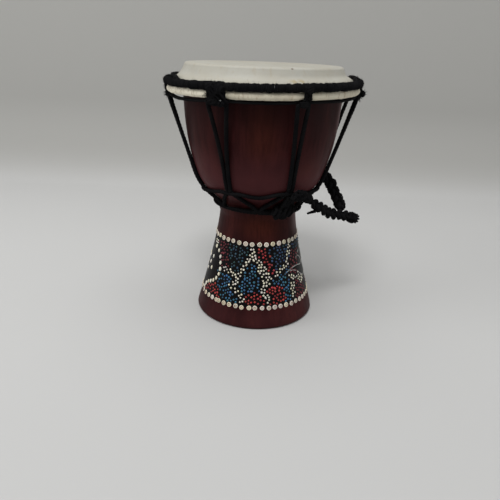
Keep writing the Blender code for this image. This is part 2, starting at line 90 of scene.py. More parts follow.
def place(radius, azimuth, height):
    # A point from a radius and an azimuth about the drum's axis.
    turn = math.radians(azimuth)
    return Vector((radius * math.sin(turn), -radius * math.cos(turn), height))


def ease(share):
    share = min(max(share, 0.0), 1.0)
    return share * share * (3.0 - 2.0 * share)


def lean(point, weight=1.0):
    # Both rings climb a little towards the right.
    return Vector((point.x, point.y, point.z + rings["slope"] * point.x * weight))


def offRing(ring, azimuth, out=0.0, up=0.0):
    # A point beside the middle of the hoop's or the crown ring's wire, in mm off it.
    radius, height = rings[ring]
    return lean(place(radius + out * mm, azimuth, height + up * mm))


def apart(one, other):
    # Degrees between two azimuths, the shorter way round.
    return (one - other + 180.0) % 360.0 - 180.0


def readStations(stations, x):
    # A smooth curve through the stations that never overshoots them.
    x = min(max(x, stations[0][0]), stations[-1][0])
    slopes = [(b[1] - a[1]) / (b[0] - a[0]) for a, b in zip(stations, stations[1:])]
    tangents = [slopes[0]]
    for before, after in zip(slopes, slopes[1:]):
        tangents.append(2.0 * before * after / (before + after) if before * after > 0.0 else 0.0)
    tangents.append(slopes[-1])
    for i, (a, b) in enumerate(zip(stations, stations[1:])):
        if x <= b[0]:
            break
    span = b[0] - a[0]
    t = (x - a[0]) / span
    return ((2 * t ** 3 - 3 * t ** 2 + 1) * a[1] + (t ** 3 - 2 * t ** 2 + t) * span * tangents[i]
            + (3 * t ** 2 - 2 * t ** 3) * b[1] + (t ** 3 - t ** 2) * span * tangents[i + 1])


def outerRadius(height):
    # The wood's outside: flared foot, bowl, and the short turn in to the rim.
    s = shell
    if height < s["waistHeight"]:
        share = max(height - s["footRound"], 0.0) / (s["waistHeight"] - s["footRound"])
        return s["waistRadius"] + (s["footRadius"] - s["waistRadius"]) * (1.0 - share) ** s["footFlare"]
    if height < s["bowlHeight"]:
        share = (height - s["waistHeight"]) / (s["bowlHeight"] - s["waistHeight"])
        return s["waistRadius"] + (s["bowlRadius"] - s["waistRadius"]) * readStations(s["bowlSide"], share)
    share = (height - s["bowlHeight"]) / (s["height"] - s["bowlHeight"])
    return s["bowlRadius"] - (s["bowlRadius"] - s["rimRadius"]) * share ** 2


def shellSlope(height):
    step = 0.5 * mm
    return (outerRadius(height + step) - outerRadius(height - step)) / (2.0 * step)


def onShell(azimuth, height, lift):
    # A point lifted straight off the wood.
    slope = shellSlope(height)
    scale = math.hypot(1.0, slope)
    return place(outerRadius(height) + lift / scale, azimuth, height - lift * slope / scale)


def arc(centre, radius, start, end, steps):
    turns = [math.radians(start + (end - start) * i / steps) for i in range(steps + 1)]
    return [(centre[0] + radius * math.cos(t), centre[1] + radius * math.sin(t)) for t in turns]


def smoothLine(points, spacing=0.8 * mm, closed=False):
    # A smooth curve through the points, read at an even spacing.
    points = [Vector(p) for p in points]
    if closed:
        ends = [points[-1]] + points + points[:2]
    else:
        ends = [points[0] * 2.0 - points[1]] + points + [points[-1] * 2.0 - points[-2]]
    fine = []
    for p0, p1, p2, p3 in zip(ends, ends[1:], ends[2:], ends[3:]):
        for i in range(12):
            t = i / 12
            fine.append(0.5 * (2.0 * p1 + (p2 - p0) * t + (2.0 * p0 - 5.0 * p1 + 4.0 * p2 - p3) * t ** 2
                               + (3.0 * p1 - p0 - 3.0 * p2 + p3) * t ** 3))
    fine.append(points[0] if closed else points[-1])
    line = np.array(fine)
    reach = np.concatenate([[0.0], np.cumsum(np.linalg.norm(np.diff(line, axis=0), axis=1))])
    count = max(2, round(reach[-1] / spacing) + 1)
    wanted = np.linspace(0.0, reach[-1], count)
    if closed:
        wanted = wanted[:-1]
    return [Vector([np.interp(w, reach, line[:, k]) for k in range(3)]) for w in wanted]


# Node trees, shader and geometry alike.

class Wire:
    # A socket that takes part in plain arithmetic.
    def __init__(self, tree, socket=None):
        self.tree, self.socket = tree, socket

    def node(self, kind, settings=None, sockets=None, output=0):
        # Makes a node: its settings first, then the values or links of its sockets.
        made = self.tree.nodes.new(kind)
        for key, value in (settings or {}).items():
            if key == "stops":
                ramp = made.color_ramp
                while len(ramp.elements) < len(value):
                    ramp.elements.new(0.5)
                for stop, (at, colour) in zip(ramp.elements, value):
                    stop.position, stop.color = at, (*colour, 1.0)
            else:
                setattr(made, key, value)
        for key, value in (sockets or {}).items():
            for item in value if isinstance(value, list) else [value]:
                if isinstance(item, Wire):
                    self.tree.links.new(item.socket, made.inputs[key])
                else:
                    made.inputs[key].default_value = item
        return Wire(self.tree, made.outputs[output] if made.outputs else None)

    def maths(self, operation, *values, clamp=False):
        return self.node("ShaderNodeMath", {"operation": operation, "use_clamp": clamp}, dict(enumerate(values)))

    def __add__(self, other):
        return self.maths("ADD", self, other)

    def __sub__(self, other):
        return self.maths("SUBTRACT", self, other)

    def __rsub__(self, other):
        return self.maths("SUBTRACT", other, self)

    def __mul__(self, other):
        return self.maths("MULTIPLY", self, other)

    __radd__, __rmul__ = __add__, __mul__

    def step(self, low, high):
        # 0 below low, 1 above high, smooth between.
        return self.node("ShaderNodeMapRange", {"interpolation_type": "SMOOTHSTEP"},
                         {"Value": self, "From Min": low, "From Max": high})

    def mix(self, first, second):
        # Two colours, mixed by this number.
        first, second = (c if isinstance(c, Wire) else (*c, 1.0) for c in (first, second))
        return self.node("ShaderNodeMix", {"data_type": "RGBA"}, {0: self, 6: first, 7: second}, 2)

    def vector(self, operation, other=None, output=0):
        sockets = {0: self, 1: other} if other else {0: self}
        return self.node("ShaderNodeVectorMath", {"operation": operation}, sockets, output)

    def noise(self, scale, detail=3.0, roughness=0.55, stretch=None):
        # Noise along this vector, stretched by different amounts if need be.
        vector = self.vector("MULTIPLY", stretch) if stretch else self
        return self.node("ShaderNodeTexNoise", None,
                         {"Vector": vector, "Scale": scale, "Detail": detail, "Roughness": roughness})

    def spot(self, centre, size, softness=1.0):
        # 1 where this vector is at centre, 0 beyond size, where size is three half widths.
        reach = self.vector("SUBTRACT", tuple(centre)).vector("DIVIDE", tuple(size)).vector("LENGTH", None, 1)
        return 1 - reach.step(1.0 - softness, 1.0)

    def part(self, which):
        return self.node("ShaderNodeSeparateXYZ", None, {0: self}, which)

    def attribute(self, name, output=2):
        return self.node("ShaderNodeAttribute", {"attribute_name": name}, None, output)

    def bump(self, strength, depth):
        # This height as a normal, with its depth in mm.
        return self.node("ShaderNodeBump", None, {"Strength": strength, "Distance": depth * mm, "Height": self})


def makeMaterial(build):
    # build takes the object's coordinates and returns the shader's values.
    material = bpy.data.materials.new(build.__name__)
    material.use_nodes = True
    material.node_tree.nodes.clear()
    here = Wire(material.node_tree).node("ShaderNodeTexCoord", None, None, 3)
    here.node("ShaderNodeOutputMaterial", None, {"Surface": here.node("ShaderNodeBsdfPrincipled", None, build(here))})
    return material


# Finishes.

wood = {"dark": (0.014, 0.0030, 0.0033), "red": (0.044, 0.0098, 0.0096), "warm": (0.060, 0.0135, 0.0072),
        "plum": (0.084, 0.0240, 0.0265), "paint": (0.0035, 0.003, 0.0033), "raw": (0.20, 0.105, 0.055),
        "chip": (0.30, 0.17, 0.10), "wearAndSheen": (0.20, 0.13, 0.13), "dusty": (0.008, 0.0077, 0.0078),
        "bandSheen": (0.075, 0.077, 0.083), "rawDark": (0.115, 0.055, 0.028), "rawStain": (0.075, 0.03, 0.02),
        "bandLow": 17.6 * mm, "bandHigh": 67.6 * mm}


def stainedWood(here):
    height = here.part(2)
    grain = here.noise(420.0, 4.0, 0.6, (1.0, 1.0, 0.06))
    streak = here.noise(70.0, 3.0, 0.55, (1.0, 1.0, 0.16))
    cloud = here.noise(22.0, 2.0, 0.5)
    rays = here.noise(900.0, 2.0, 0.5, (0.5, 0.5, 2.6))
    pores = here.noise(1500.0, 2.0, 0.5, (1.0, 1.0, 0.10))
    tone = streak * 0.55 + cloud * 0.45
    colour = tone.step(0.36, 0.66).mix(wood["dark"], wood["red"])
    warm = here.spot(place(58 * mm, 1, 158 * mm), (0.020, 0.03, 0.034))
    warm = warm + 0.8 * here.spot(place(54 * mm, 42, 127 * mm), (0.022, 0.022, 0.017))
    warm = warm + here.spot(place(32 * mm, 6, 82 * mm), (0.030, 0.03, 0.018))
    warm = warm + 0.3 * streak.step(0.55, 0.75)
    colour = here.maths("MULTIPLY", warm, 0.25 + grain * 0.9, clamp=True).mix(colour, wood["warm"])
    colour = (grain.step(0.38, 0.72) * 0.55).mix(colour, wood["dark"])
    # The lower bowl is lighter plum: partly the plum stain, partly painted reflection of the floor.
    low = height.step(100 * mm, 110 * mm) * (1 - height.step(114 * mm, 150 * mm))
    colour = (low * (0.35 + 0.6 * cloud)).mix(colour, wood["plum"])
    # Painted shade: darker under the hoop, towards the top of the bowl.
    colour = (height.step(140 * mm, 174 * mm) * (0.25 + 0.4 * cloud)).mix(colour, wood["dark"])
    # Painted sheen: paler along the right side of the bowl and the neck, where light glances off the edge.
    wearAndSheen = here.spot(place(60.5 * mm, 80, 162 * mm), (0.012, 0.022, 0.034))
    wearAndSheen = wearAndSheen + 0.8 * here.spot(place(33 * mm, 78, 84 * mm), (0.010, 0.02, 0.020))
    colour = (wearAndSheen * (0.55 + 0.4 * streak)).mix(colour, wood["wearAndSheen"])
    footing = 1 - height.step(8 * mm, 24 * mm)
    colour = (footing * (0.1 + 0.25 * cloud)).mix(colour, wood["plum"])
    chips = here.noise(260.0, 2.0, 0.6).step(0.66, 0.70) * (1 - height.step(0.6 * mm, 2.6 * mm))
    colour = (chips * 0.8).mix(colour, wood["chip"])
    edge = height + (here.noise(160.0, 2.0) - 0.5) * (0.9 * mm)
    painted = edge.step(wood["bandLow"], wood["bandLow"] + 0.3 * mm) * (
        1 - edge.step(wood["bandHigh"] - 0.3 * mm, wood["bandHigh"]))
    dust = here.noise(95.0, 5.0, 0.65)
    paint = (dust.step(0.45, 0.8) * 0.5).mix(wood["paint"], wood["dusty"])
    # Painted sheen: the black paint turns paler and bluish grey at the right side, where light glances off it.
    bandSheen = here.spot(place(46 * mm, 82, 44 * mm), (0.016, 0.03, 0.030))
    paint = (bandSheen * (0.25 + 0.5 * dust)).mix(paint, wood["bandSheen"])
    colour = painted.mix(colour, paint)
    rough = 0.34 + 0.16 * dust + 0.12 * grain + chips * 0.3 - painted * 0.06
    rise = grain * 0.5 * (1 - painted) + rays * 0.12 + pores * 0.25 * (1 - painted) + dust * 0.2 + painted * 0.25
    return {"Base Color": colour, "Roughness": rough, "Normal": rise.bump(0.25, 0.12), "Coat Weight": painted * 0.04,
            "Coat Roughness": 0.30, "Specular IOR Level": 0.05}


def rawWood(here):
    grain = here.noise(380.0, 4.0, 0.6, (1.0, 1.0, 0.07))
    tool = here.noise(420.0, 2.0, 0.5, (0.3, 0.3, 3.0))
    stain = here.noise(30.0, 3.0, 0.6)
    colour = (grain * 0.6 + tool * 0.4).step(0.3, 0.7).mix(wood["rawDark"], wood["raw"])
    colour = stain.step(0.5, 0.75).mix(colour, wood["rawStain"])
    return {"Base Color": colour, "Roughness": 0.62 + 0.25 * grain, "Normal": (grain + tool * 1.2).bump(0.5, 0.3)}


skin = {"pale": (0.43, 0.422, 0.373), "cream": (0.395, 0.376, 0.318), "tan": (0.33, 0.25, 0.14),
        "grey": (0.37, 0.365, 0.335), "stain": (0.35, 0.29, 0.17), "fleck": (0.08, 0.045, 0.022),
        "rollShade": (0.64, 0.59, 0.46), "rollLight": (0.88, 0.82, 0.67), "rollDirt": (0.36, 0.31, 0.22)}


def goatskinFinish(here):
    height = here.part(2)
    cloud = here.noise(32.0, 4.0, 0.6)
    mottle = here.noise(130.0, 4.0, 0.65)
    hair = here.noise(330.0, 3.0, 0.6, (1.0, 1.0, 0.12))
    follicle = here.noise(1500.0, 2.0, 0.6)
    colour = cloud.step(0.35, 0.68).mix(skin["cream"], skin["pale"])
    colour = (mottle.step(0.5, 0.8) * 0.45).mix(colour, skin["grey"])
    # Tan streaks run down from the bearing edge.
    high = height.step(191 * mm, 199 * mm)
    colour = (hair.step(0.52, 0.74) * (0.10 + 0.22 * high)).mix(colour, skin["tan"])
    # The roll round the hoop is yellower, with painted light: lighter at the left side, darker elsewhere. It is also
    # mottled darker where it has been handled.
    rolled = 1 - height.step(185.5 * mm, 188.0 * mm)
    rollPaintedLight = (1 - here.part(0).step(-62 * mm, -24 * mm)).mix(skin["rollShade"], skin["rollLight"])
    colour = (rolled * 0.85).mix(colour, rollPaintedLight)
    colour = (rolled * mottle.step(0.42, 0.70) * 0.35).mix(colour, skin["rollDirt"])
    crumple = here.noise(520.0, 4.0, 0.6, (1.0, 1.0, 0.3))
    colour = (rolled * (1 - crumple.step(0.34, 0.46)) * 0.45).mix(colour, skin["tan"])
    edge = (1 - height.step(189.5 * mm, 193.5 * mm)) * height.step(186.5 * mm, 189.5 * mm)
    colour = (edge * cloud.step(0.4, 0.7) * 0.3).mix(colour, skin["stain"])
    tide = here.spot(place(66.0 * mm, 21.5, 191.6 * mm), (10.5 * mm, 6.0 * mm, 3.4 * mm), 0.8)
    blot = here.noise(240.0, 3.0, 0.6)
    colour = (tide * blot.step(0.40, 0.58)).mix(colour, skin["stain"])
    crease = here.spot(place(72.3 * mm, 49.6, 183.8 * mm), (0.8 * mm, 1.0 * mm, 3.6 * mm), 0.7)
    colour = (crease * 0.7).mix(colour, skin["tan"])
    fleck = here.spot(place(59.0 * mm, 18.2, 199.2 * mm), (1.1 * mm, 1.1 * mm, 0.7 * mm), 0.4)
    fleck = fleck + (here.noise(210.0, 2.0).step(0.735, 0.75) * 0.5)
    colour = (fleck * 0.7).mix(colour, skin["fleck"])
    rise = mottle * 0.8 + hair * 0.6 + follicle * 0.25 + rolled * crumple * 1.6
    return {"Base Color": colour, "Roughness": 0.52 + 0.22 * mottle, "Normal": rise.bump(0.35, 0.22),
            "Specular IOR Level": 0.30}


yarn = {"black": (0.0035, 0.0035, 0.0042), "wearAndSheen": (0.010, 0.0095, 0.010), "dust": (0.040, 0.038, 0.035)}
steel = {"bright": (0.42, 0.42, 0.43), "rust": (0.19, 0.085, 0.035)}
paints = {"dimple": (0.17, 0.105, 0.06), "scuff": (0.05, 0.045, 0.045), "scratchLow": (0.17, 0.17, 0.16),
          "scratchHigh": (0.40, 0.40, 0.38)}
fluff = {"grey": (0.28, 0.28, 0.28), "white": (0.58, 0.58, 0.56)}


def blackYarn(here):
    along = here.attribute("along")
    around = here.attribute("around")
    fibre = here.node("ShaderNodeCombineXYZ", None, {0: around * 26.0, 1: along * 2200.0, 2: 0.0})
    thread = fibre.noise(1.0, 2.0, 0.6)
    lint = here.noise(700.0, 3.0, 0.7)
    cloud = here.noise(90.0, 3.0, 0.6)
    colour = (thread * 0.6 + cloud * 0.6).step(0.45, 0.85).mix(yarn["black"], yarn["wearAndSheen"])
    colour = (lint.step(0.70, 0.80) * 0.35).mix(colour, yarn["dust"])
    return {"Base Color": colour, "Roughness": 0.80 + 0.15 * thread, "Normal": (thread + lint * 0.6).bump(0.6, 0.15),
            "Specular IOR Level": 0.06}


def steelWire(here):
    drawn = here.noise(500.0, 3.0, 0.6, (1.0, 1.0, 6.0))
    rust = here.noise(150.0, 4.0, 0.7).step(0.56, 0.74)
    colour = rust.mix(steel["bright"], steel["rust"])
    return {"Base Color": colour, "Metallic": 1 - rust * 0.8, "Roughness": 0.32 + 0.35 * rust + 0.1 * drawn,
            "Normal": (drawn + rust).bump(0.3, 0.05)}


def dotPaint(here):
    tint = here.attribute("tint", 0)
    reach = here.attribute("reach")
    ringed = here.attribute("ringed")
    cloud = here.noise(420.0, 3.0, 0.6)
    scuff = here.noise(1100.0, 3.0, 0.7)
    # A tan ring round the dimple that the stick's end leaves in a big dot.
    band = reach.step(0.12, 0.34) * (1 - reach.step(0.54, 0.72)) * ringed
    colour = here.maths("MULTIPLY", band, 0.6 + 0.6 * cloud, clamp=True).mix(tint, paints["dimple"])
    colour = (scuff.step(0.62, 0.78) * 0.30).mix(colour, paints["scuff"])
    return {"Base Color": colour, "Roughness": 0.40 + 0.25 * cloud, "Normal": (cloud + scuff * 0.5).bump(0.25, 0.06),
            "Specular IOR Level": 0.25}


def scratchPaint(here):
    wearAndSheen = here.noise(380.0, 3.0, 0.7)
    colour = wearAndSheen.step(0.35, 0.65).mix(paints["scratchLow"], paints["scratchHigh"])
    return {"Base Color": colour, "Roughness": 0.5 + 0.2 * wearAndSheen}


def whiteLint(here):
    cloud = here.noise(900.0, 2.0, 0.5)
    colour = cloud.step(0.3, 0.7).mix(fluff["grey"], fluff["white"])
    return {"Base Color": colour, "Roughness": 0.9 - 0.1 * cloud}


finishes = {build.__name__: makeMaterial(build) for build in (
    stainedWood, rawWood, goatskinFinish, blackYarn, steelWire, dotPaint, scratchPaint, whiteLint)}
print("finishes made:", len(finishes))


# Mesh makers.

def newMesh(name, points, edges, faces, coats=()):
    mesh = bpy.data.meshes.new(name)
    mesh.from_pydata(points, edges, faces)
    for coat in coats:
        mesh.materials.append(coat)
    mesh.shade_smooth()
    return mesh


def addPiece(name, mesh, body, slot, nodes=()):
    piece = newObject(name, mesh)
    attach(piece, body)
    if nodes:
        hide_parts(*nodes)
    print(name, "made:", len(mesh.polygons), "faces")
    return piece


def latheMesh(name, outline, flats, coats, move=None):
    # Turns a closed outline, listed up the outside and down the inside. move(point, index) may shift a point.
    points, rows, faces = [], [], []
    for i, (radius, height) in enumerate(outline):
        count = 1 if radius < 1e-6 else flats
        rows.append(range(len(points), len(points) + count))
        for j in range(count):
            point = place(radius if count > 1 else 0.0, 360.0 * j / flats, height)
            points.append(move(point, i) if move else point)
    for lower, upper in zip(rows, rows[1:] + rows[:1]):
        if len(lower) == 1 and len(upper) == 1:
            continue
        for i in range(flats):
            j = (i + 1) % flats
            if len(lower) == 1:
                faces.append((lower[0], upper[j], upper[i]))
            elif len(upper) == 1:
                faces.append((lower[i], lower[j], upper[0]))
            else:
                faces.append((lower[i], lower[j], upper[j], upper[i]))
    return newMesh(name, points, [], faces, coats)


def geometryTree(name, inputs):
    tree = bpy.data.node_groups.new(name, "GeometryNodeTree")
    tree.interface.new_socket("Result", in_out="OUTPUT", socket_type="NodeSocketGeometry")
    for label, kind in inputs:
        tree.interface.new_socket(label, in_out="INPUT", socket_type="NodeSocket" + kind)
    entry = tree.nodes.new("NodeGroupInput")
    return tree, {label: Wire(tree, entry.outputs[label]) for label, _ in inputs}


def runTree(tree, host, values, name):
    # Runs a tree on a host object, keeps the result as a plain mesh and drops the host.
    modifier = host.modifiers.new("tree", "NODES")
    modifier.node_group = tree
    for item in tree.interface.items_tree:
        if item.in_out == "INPUT" and item.name in values:
            modifier[item.identifier] = values[item.name]
    graph = bpy.context.evaluated_depsgraph_get()
    mesh = bpy.data.meshes.new_from_object(host.evaluated_get(graph), depsgraph=graph)
    mesh.name = name
    bpy.data.objects.remove(host, do_unlink=True)
    return mesh


def endTree(tree, geometry, finish):
    geometry = geometry.node("GeometryNodeRealizeInstances", None, {"Geometry": geometry})
    geometry = geometry.node("GeometryNodeSetShadeSmooth", None, {"Geometry": geometry, "Shade Smooth": True})
    geometry = geometry.node("GeometryNodeSetMaterial", None, {"Geometry": geometry, "Material": finish})
    geometry.node("NodeGroupOutput", None, {0: geometry})
    return tree


def makeCordTree():
    # Twisted cord along every route, with loose fibres standing off it.
    tree, given = geometryTree("twistedCord", [
        ("Routes", "Geometry"), ("Sides", "Int"), ("Lobes", "Int"), ("Groove", "Float"), ("Twists per metre", "Float"),
        ("Fibres per square metre", "Float"), ("Fibre length", "Float"), ("Seed", "Int"), ("Finish", "Material")])
    wire = given["Routes"]

    def keep(geometry, name, value):
        return wire.node("GeometryNodeStoreNamedAttribute", {"data_type": "FLOAT", "domain": "POINT"},
                         {"Geometry": geometry, "Name": name, "Value": value})

    curve = wire.node("GeometryNodeMeshToCurve", None, {"Mesh": wire})
    along = wire.node("GeometryNodeSplineParameter", None, None, 1)
    tilt = along * given["Twists per metre"] * math.tau
    curve = wire.node("GeometryNodeSetCurveTilt", None, {"Curve": curve, "Tilt": tilt})
    curve = keep(curve, "along", along)
    ring = wire.node("GeometryNodeCurvePrimitiveCircle", {"mode": "RADIUS"},
                     {"Resolution": given["Sides"], "Radius": 1.0})
    share = wire.node("GeometryNodeSplineParameter", None, None, 0)
    ring = keep(ring, "around", share)
    lobe = wire.maths("COSINE", share * given["Lobes"] * math.tau)
    position = wire.node("GeometryNodeInputPosition")
    position = wire.node("ShaderNodeVectorMath", {"operation": "SCALE"},
                         {0: position, "Scale": 1 - given["Groove"] * (1 - lobe)})
    ring = wire.node("GeometryNodeSetPosition", None, {"Geometry": ring, "Position": position})
    thick = wire.node("GeometryNodeInputNamedAttribute", {"data_type": "FLOAT"}, {"Name": "thick"})
    cord = wire.node("GeometryNodeCurveToMesh", None,
                     {"Curve": curve, "Profile Curve": ring, "Scale": thick, "Fill Caps": True})
    spots = wire.node("GeometryNodeDistributePointsOnFaces", {"distribute_method": "RANDOM"},
                      {"Mesh": cord, "Density": given["Fibres per square metre"], "Seed": given["Seed"]})
    facing = Wire(tree, spots.socket.node.outputs["Normal"])
    stray = wire.node("FunctionNodeRandomValue", {"data_type": "FLOAT_VECTOR"},
                      {0: (-1.3, -1.3, -1.3), 1: (1.3, 1.3, 1.3), "Seed": given["Seed"]})
    turn = wire.node("FunctionNodeAlignRotationToVector", {"axis": "Z"}, {"Vector": facing.vector("ADD", stray)})
    size = wire.node("FunctionNodeRandomValue", {"data_type": "FLOAT"}, {2: 0.3, 3: 1.5, "Seed": given["Seed"]}, 1)
    fibre = wire.node("GeometryNodeMeshCone", None, {
        "Vertices": 3, "Radius Top": 0.0, "Radius Bottom": 0.045 * mm, "Depth": given["Fibre length"]})
    fibres = wire.node("GeometryNodeInstanceOnPoints", None,
                       {"Points": spots, "Instance": fibre, "Rotation": turn, "Scale": size})
    joined = wire.node("GeometryNodeJoinGeometry", None, {"Geometry": [cord, fibres]})
    return endTree(tree, joined, given["Finish"])


def makeDotTree():
    # One dot shape on every place, turned to face out of the wood.
    tree, given = geometryTree("raisedDots", [("Places", "Geometry"), ("Dot", "Object"), ("Finish", "Material")])
    wire = given["Places"]
    named = {label: wire.node("GeometryNodeInputNamedAttribute", {"data_type": "FLOAT_VECTOR"}, {"Name": label})
             for label in ("facing", "way", "size")}
    turn = wire.node("FunctionNodeAlignRotationToVector", {"axis": "Z"}, {"Vector": named["facing"]})
    turn = wire.node("FunctionNodeAlignRotationToVector", {"axis": "X", "pivot_axis": "Z"},
                     {"Rotation": turn, "Vector": named["way"]})
    dot = wire.node("GeometryNodeObjectInfo", None, {"Object": given["Dot"]}, 4)
    dots = wire.node("GeometryNodeInstanceOnPoints", None,
                     {"Points": given["Places"], "Instance": dot, "Rotation": turn, "Scale": named["size"]})
    return endTree(tree, dots, given["Finish"])


cordTree, dotTree = makeCordTree(), makeDotTree()
plain = {"lobes": 1, "groove": 0.0, "twist": 0.0, "fibres": 0.0}  # a smooth cord


def addCord(name, strands, nodes=(), body="drum", slot="black_cord", sides=10, lobes=3, groove=0.08, twist=160.0,
            fibres=120000.0, fibreLength=1.1 * mm, seed=1, finish="blackYarn"):
    # strands holds (points, radius or radii, closed) for every cord in the piece.
    points, edges, thick = [], [], []
    for line, radius, closed in strands:
        start = len(points)
        points += line
        thick += radius if isinstance(radius, list) else [radius] * len(line)
        edges += [(start + i, start + i + 1) for i in range(len(line) - 1)]
        if closed:
            edges.append((start + len(line) - 1, start))
    host = newObject(name, newMesh(name, points, edges, []))
    host.data.attributes.new("thick", "FLOAT", "POINT").data.foreach_set("value", thick)
    mesh = runTree(cordTree, host, {
        "Sides": sides, "Lobes": lobes, "Groove": groove, "Twists per metre": twist, "Fibres per square metre": fibres,
        "Fibre length": fibreLength, "Seed": seed, "Finish": finishes[finish]}, name)
    return addPiece(name, mesh, body, slot, nodes)


def tapered(count, radius, share, least):
    # Radii that close in at both ends of a cord.
    ends = max(1, round(count * share))
    return [radius * max(least, min(1.0, (i + 0.6) / ends, (count - i - 0.4) / ends) ** 0.5) for i in range(count)]


def cut(line, radius, share, least):
    # A strand with two ends.
    return line, tapered(len(line), radius, share, least), False


def along(line, i):
    # The way a line of points runs at its point i.
    return (line[min(i + 1, len(line) - 1)] - line[max(i - 1, 0)]).normalized()


def drift(x, y, z):
    # Smooth noise, from about -1 to 1.
    return noise.noise(Vector((x, y, z)))


def wobble(point, amount, scale, seed=0.0):
    # The point, moved a little by smooth noise.
    return point + noise.noise_vector(point * scale + Vector((seed, seed * 1.7, -seed))) * amount


# Lacing routes, as the CAD source gives them.
lacing = {"lace": 2.6 * mm, "laceLook": 3.3 * mm, "pull": 2.6 * mm, "pullLook": 3.0 * mm, "waistRing": 2.8 * mm,
          "hoopCord": 1.6 * mm, "knotOut": 1.9 * mm, "knotLength": 3.8 * mm, "contact": 128.0 * mm,
          "pullHeight": 109.0 * mm, "pullEnd": 32.6, "ringHeight": 93.2 * mm, "ringClimb": 2.2 * mm, "ringTop": -50.0,
          "merge": 0.72, "sag": 0.5 * mm, "leftSag": 1.65 * mm, "gathered": (24.5, 27.5, 30.5),
          "gatheredRadius": 1.6 * mm, "crossReach": 10.5, "crossBlend": 7.5, "riseReach": 34.0, "crossLift": 1.0 * mm}
# Where the hitches' knots end, below the hoop.
rings["knot"] = (rings["hoop"][0] + lacing["knotOut"] * 0.32, rings["hoop"][1] - rings["roll"] - lacing["knotLength"])
# Azimuths of a hitch, of its laces and of where the pull cord pinches them, its width and the pull cord's rise.
hitches = [dict(zip(("name", "azimuth", "legs", "pinch", "width", "rise"), row)) for row in (
    ("left", -83.0, (-88.0, -78.0), -70.0, 5.0 * mm, -1.0 * mm),
    ("front_left", -24.8, (-30.2, -19.2), -26.0, 11.6 * mm, 3.5 * mm),
    ("front_right", 22.4, (19.0, 25.2), 27.0, 4.8 * mm, 5.0 * mm),
    ("right", 84.5, (81.0, 88.0), 72.0, 6.0 * mm, 2.0 * mm),
    ("rear_right", 109.0, (105.0, 113.0), 105.0, 5.0 * mm, 1.0 * mm),
    ("rear", 165.0, (160.0, 170.0), 160.0, 5.0 * mm, 1.0 * mm),
    ("rear_left", 221.0, (216.0, 226.0), 224.0, 5.0 * mm, 0.0))]


def halfAngle(width, radius):
    return math.degrees(width / 2.0 / radius)


def ringAt(azimuth):
    return lacing["ringHeight"] + lacing["ringClimb"] * math.cos(math.radians(azimuth - lacing["ringTop"]))


def lacePoints(hitch, neighbour, side):
    # One lace from its hitch's knot down the bowl, in beside the pull cord and on behind the waist ring.
    lift = lacing["lace"] / 2.0 + rings["gap"]
    radius0, height0 = rings["knot"][0], rings["knot"][1] - lacing["lace"] / 4.0 - rings["gap"]
    low = lacing["pullHeight"] + hitch["rise"]
    paired = side * halfAngle(lacing["lace"] + rings["gap"], outerRadius(low) + lift)
    middle = sum(hitch["legs"]) / 2.0
    spread = (hitch["legs"][0] if side < 0 else hitch["legs"][1]) - middle

    def azimuthAt(height):
        share = min(max((height0 - height) / (height0 - low), 0.0), 1.0)
        parted = max(0.0, 1.0 - share / lacing["merge"]) ** 1.3
        return middle + (hitch["pinch"] - middle) * share ** 1.2 + paired + (spread - paired) * parted

    contact = onShell(0.0, lacing["contact"], lift)
    points = []
    for share in (0.0, 0.25, 0.5, 0.75):
        height = height0 + (contact.z - height0) * share
        radius = max(radius0 + (math.hypot(contact.x, contact.y) - radius0) * share, outerRadius(height) + lift)
        points.append(lean(place(radius, azimuthAt(height), height), 1.0 - ease(share)))
    for i in range(5):
        height = lacing["contact"] + (low - lacing["contact"]) * i / 4
        points.append(onShell(azimuthAt(height), height, lift))
    foot = (hitch["pinch"] + neighbour) / 2.0
    footHeight = ringAt(foot) + (lacing["waistRing"] + lacing["lace"]) / 2.0 + rings["gap"]
    foot -= side * halfAngle(lacing["lace"] + 2.0 * rings["gap"], outerRadius(footHeight) + lift)
    start = azimuthAt(low)
    for share in (0.25, 0.5, 0.75, 1.0):
        height = low + (footHeight - low) * share
        points.append(onShell(start + (foot - start) * share, height, lift))
    points.append(onShell(foot, ringAt(foot) + 0.8 * mm, 0.9 * mm))
    return points


def pullPoint(azimuth):
    # The pull cord's middle, which rises to each pair of laces.
    rise, bump = 0.0, 0.0
    for hitch in hitches:
        away = abs(apart(azimuth, hitch["pinch"]))
        bump = max(bump, ease((lacing["crossReach"] - away) / lacing["crossBlend"]))
        rise += hitch["rise"] * ease(1.0 - away / lacing["riseReach"])
    # Drawn tight, the cord sinks into the pair of laces that it crosses.
    lift = lacing["pull"] / 2.0 + rings["gap"] + lacing["crossLift"] * bump
    return onShell(azimuth, lacing["pullHeight"] + rise, lift)


# Carrying loop, with its routes in mm. Pairs are the front plait's value and the rear one's.
loop = {"collar": 4.8 * mm, "frontCollar": 48.0, "rearCollar": 127.0, "collarHeight": 110.0 * mm,
        "frontRoute": [(42.4, -27.0, 101.4), (50.5, -20.0, 94.8), (58.6, -11.6, 88.8), (67.2, -4.2, 86.0),
                       (74.6, 0.6, 83.0)],
        "rearRoute": [(48.0, 27.4, 109.6), (54.4, 25.0, 110.4), (59.6, 21.0, 107.4), (62.6, 16.2, 102.0),
                      (65.6, 10.2, 96.6), (68.4, 3.0, 91.2), (69.2, 0.6, 88.8)],
        "tipSize": (5.6 * mm, 5.0 * mm, 5.2 * mm), "looseDiameter": 1.8 * mm, "looseLength": 9.0 * mm,
        "strand": 2.2 * mm, "across": 3.1 * mm, "over": 1.7 * mm, "lay": 21.0 * mm,
        "thin": (0.92, 1.0), "root": (0.80, 0.74), "lengths": (52.0 * mm, 46.0 * mm), "diameters": (8.0 * mm, 7.5 * mm)}


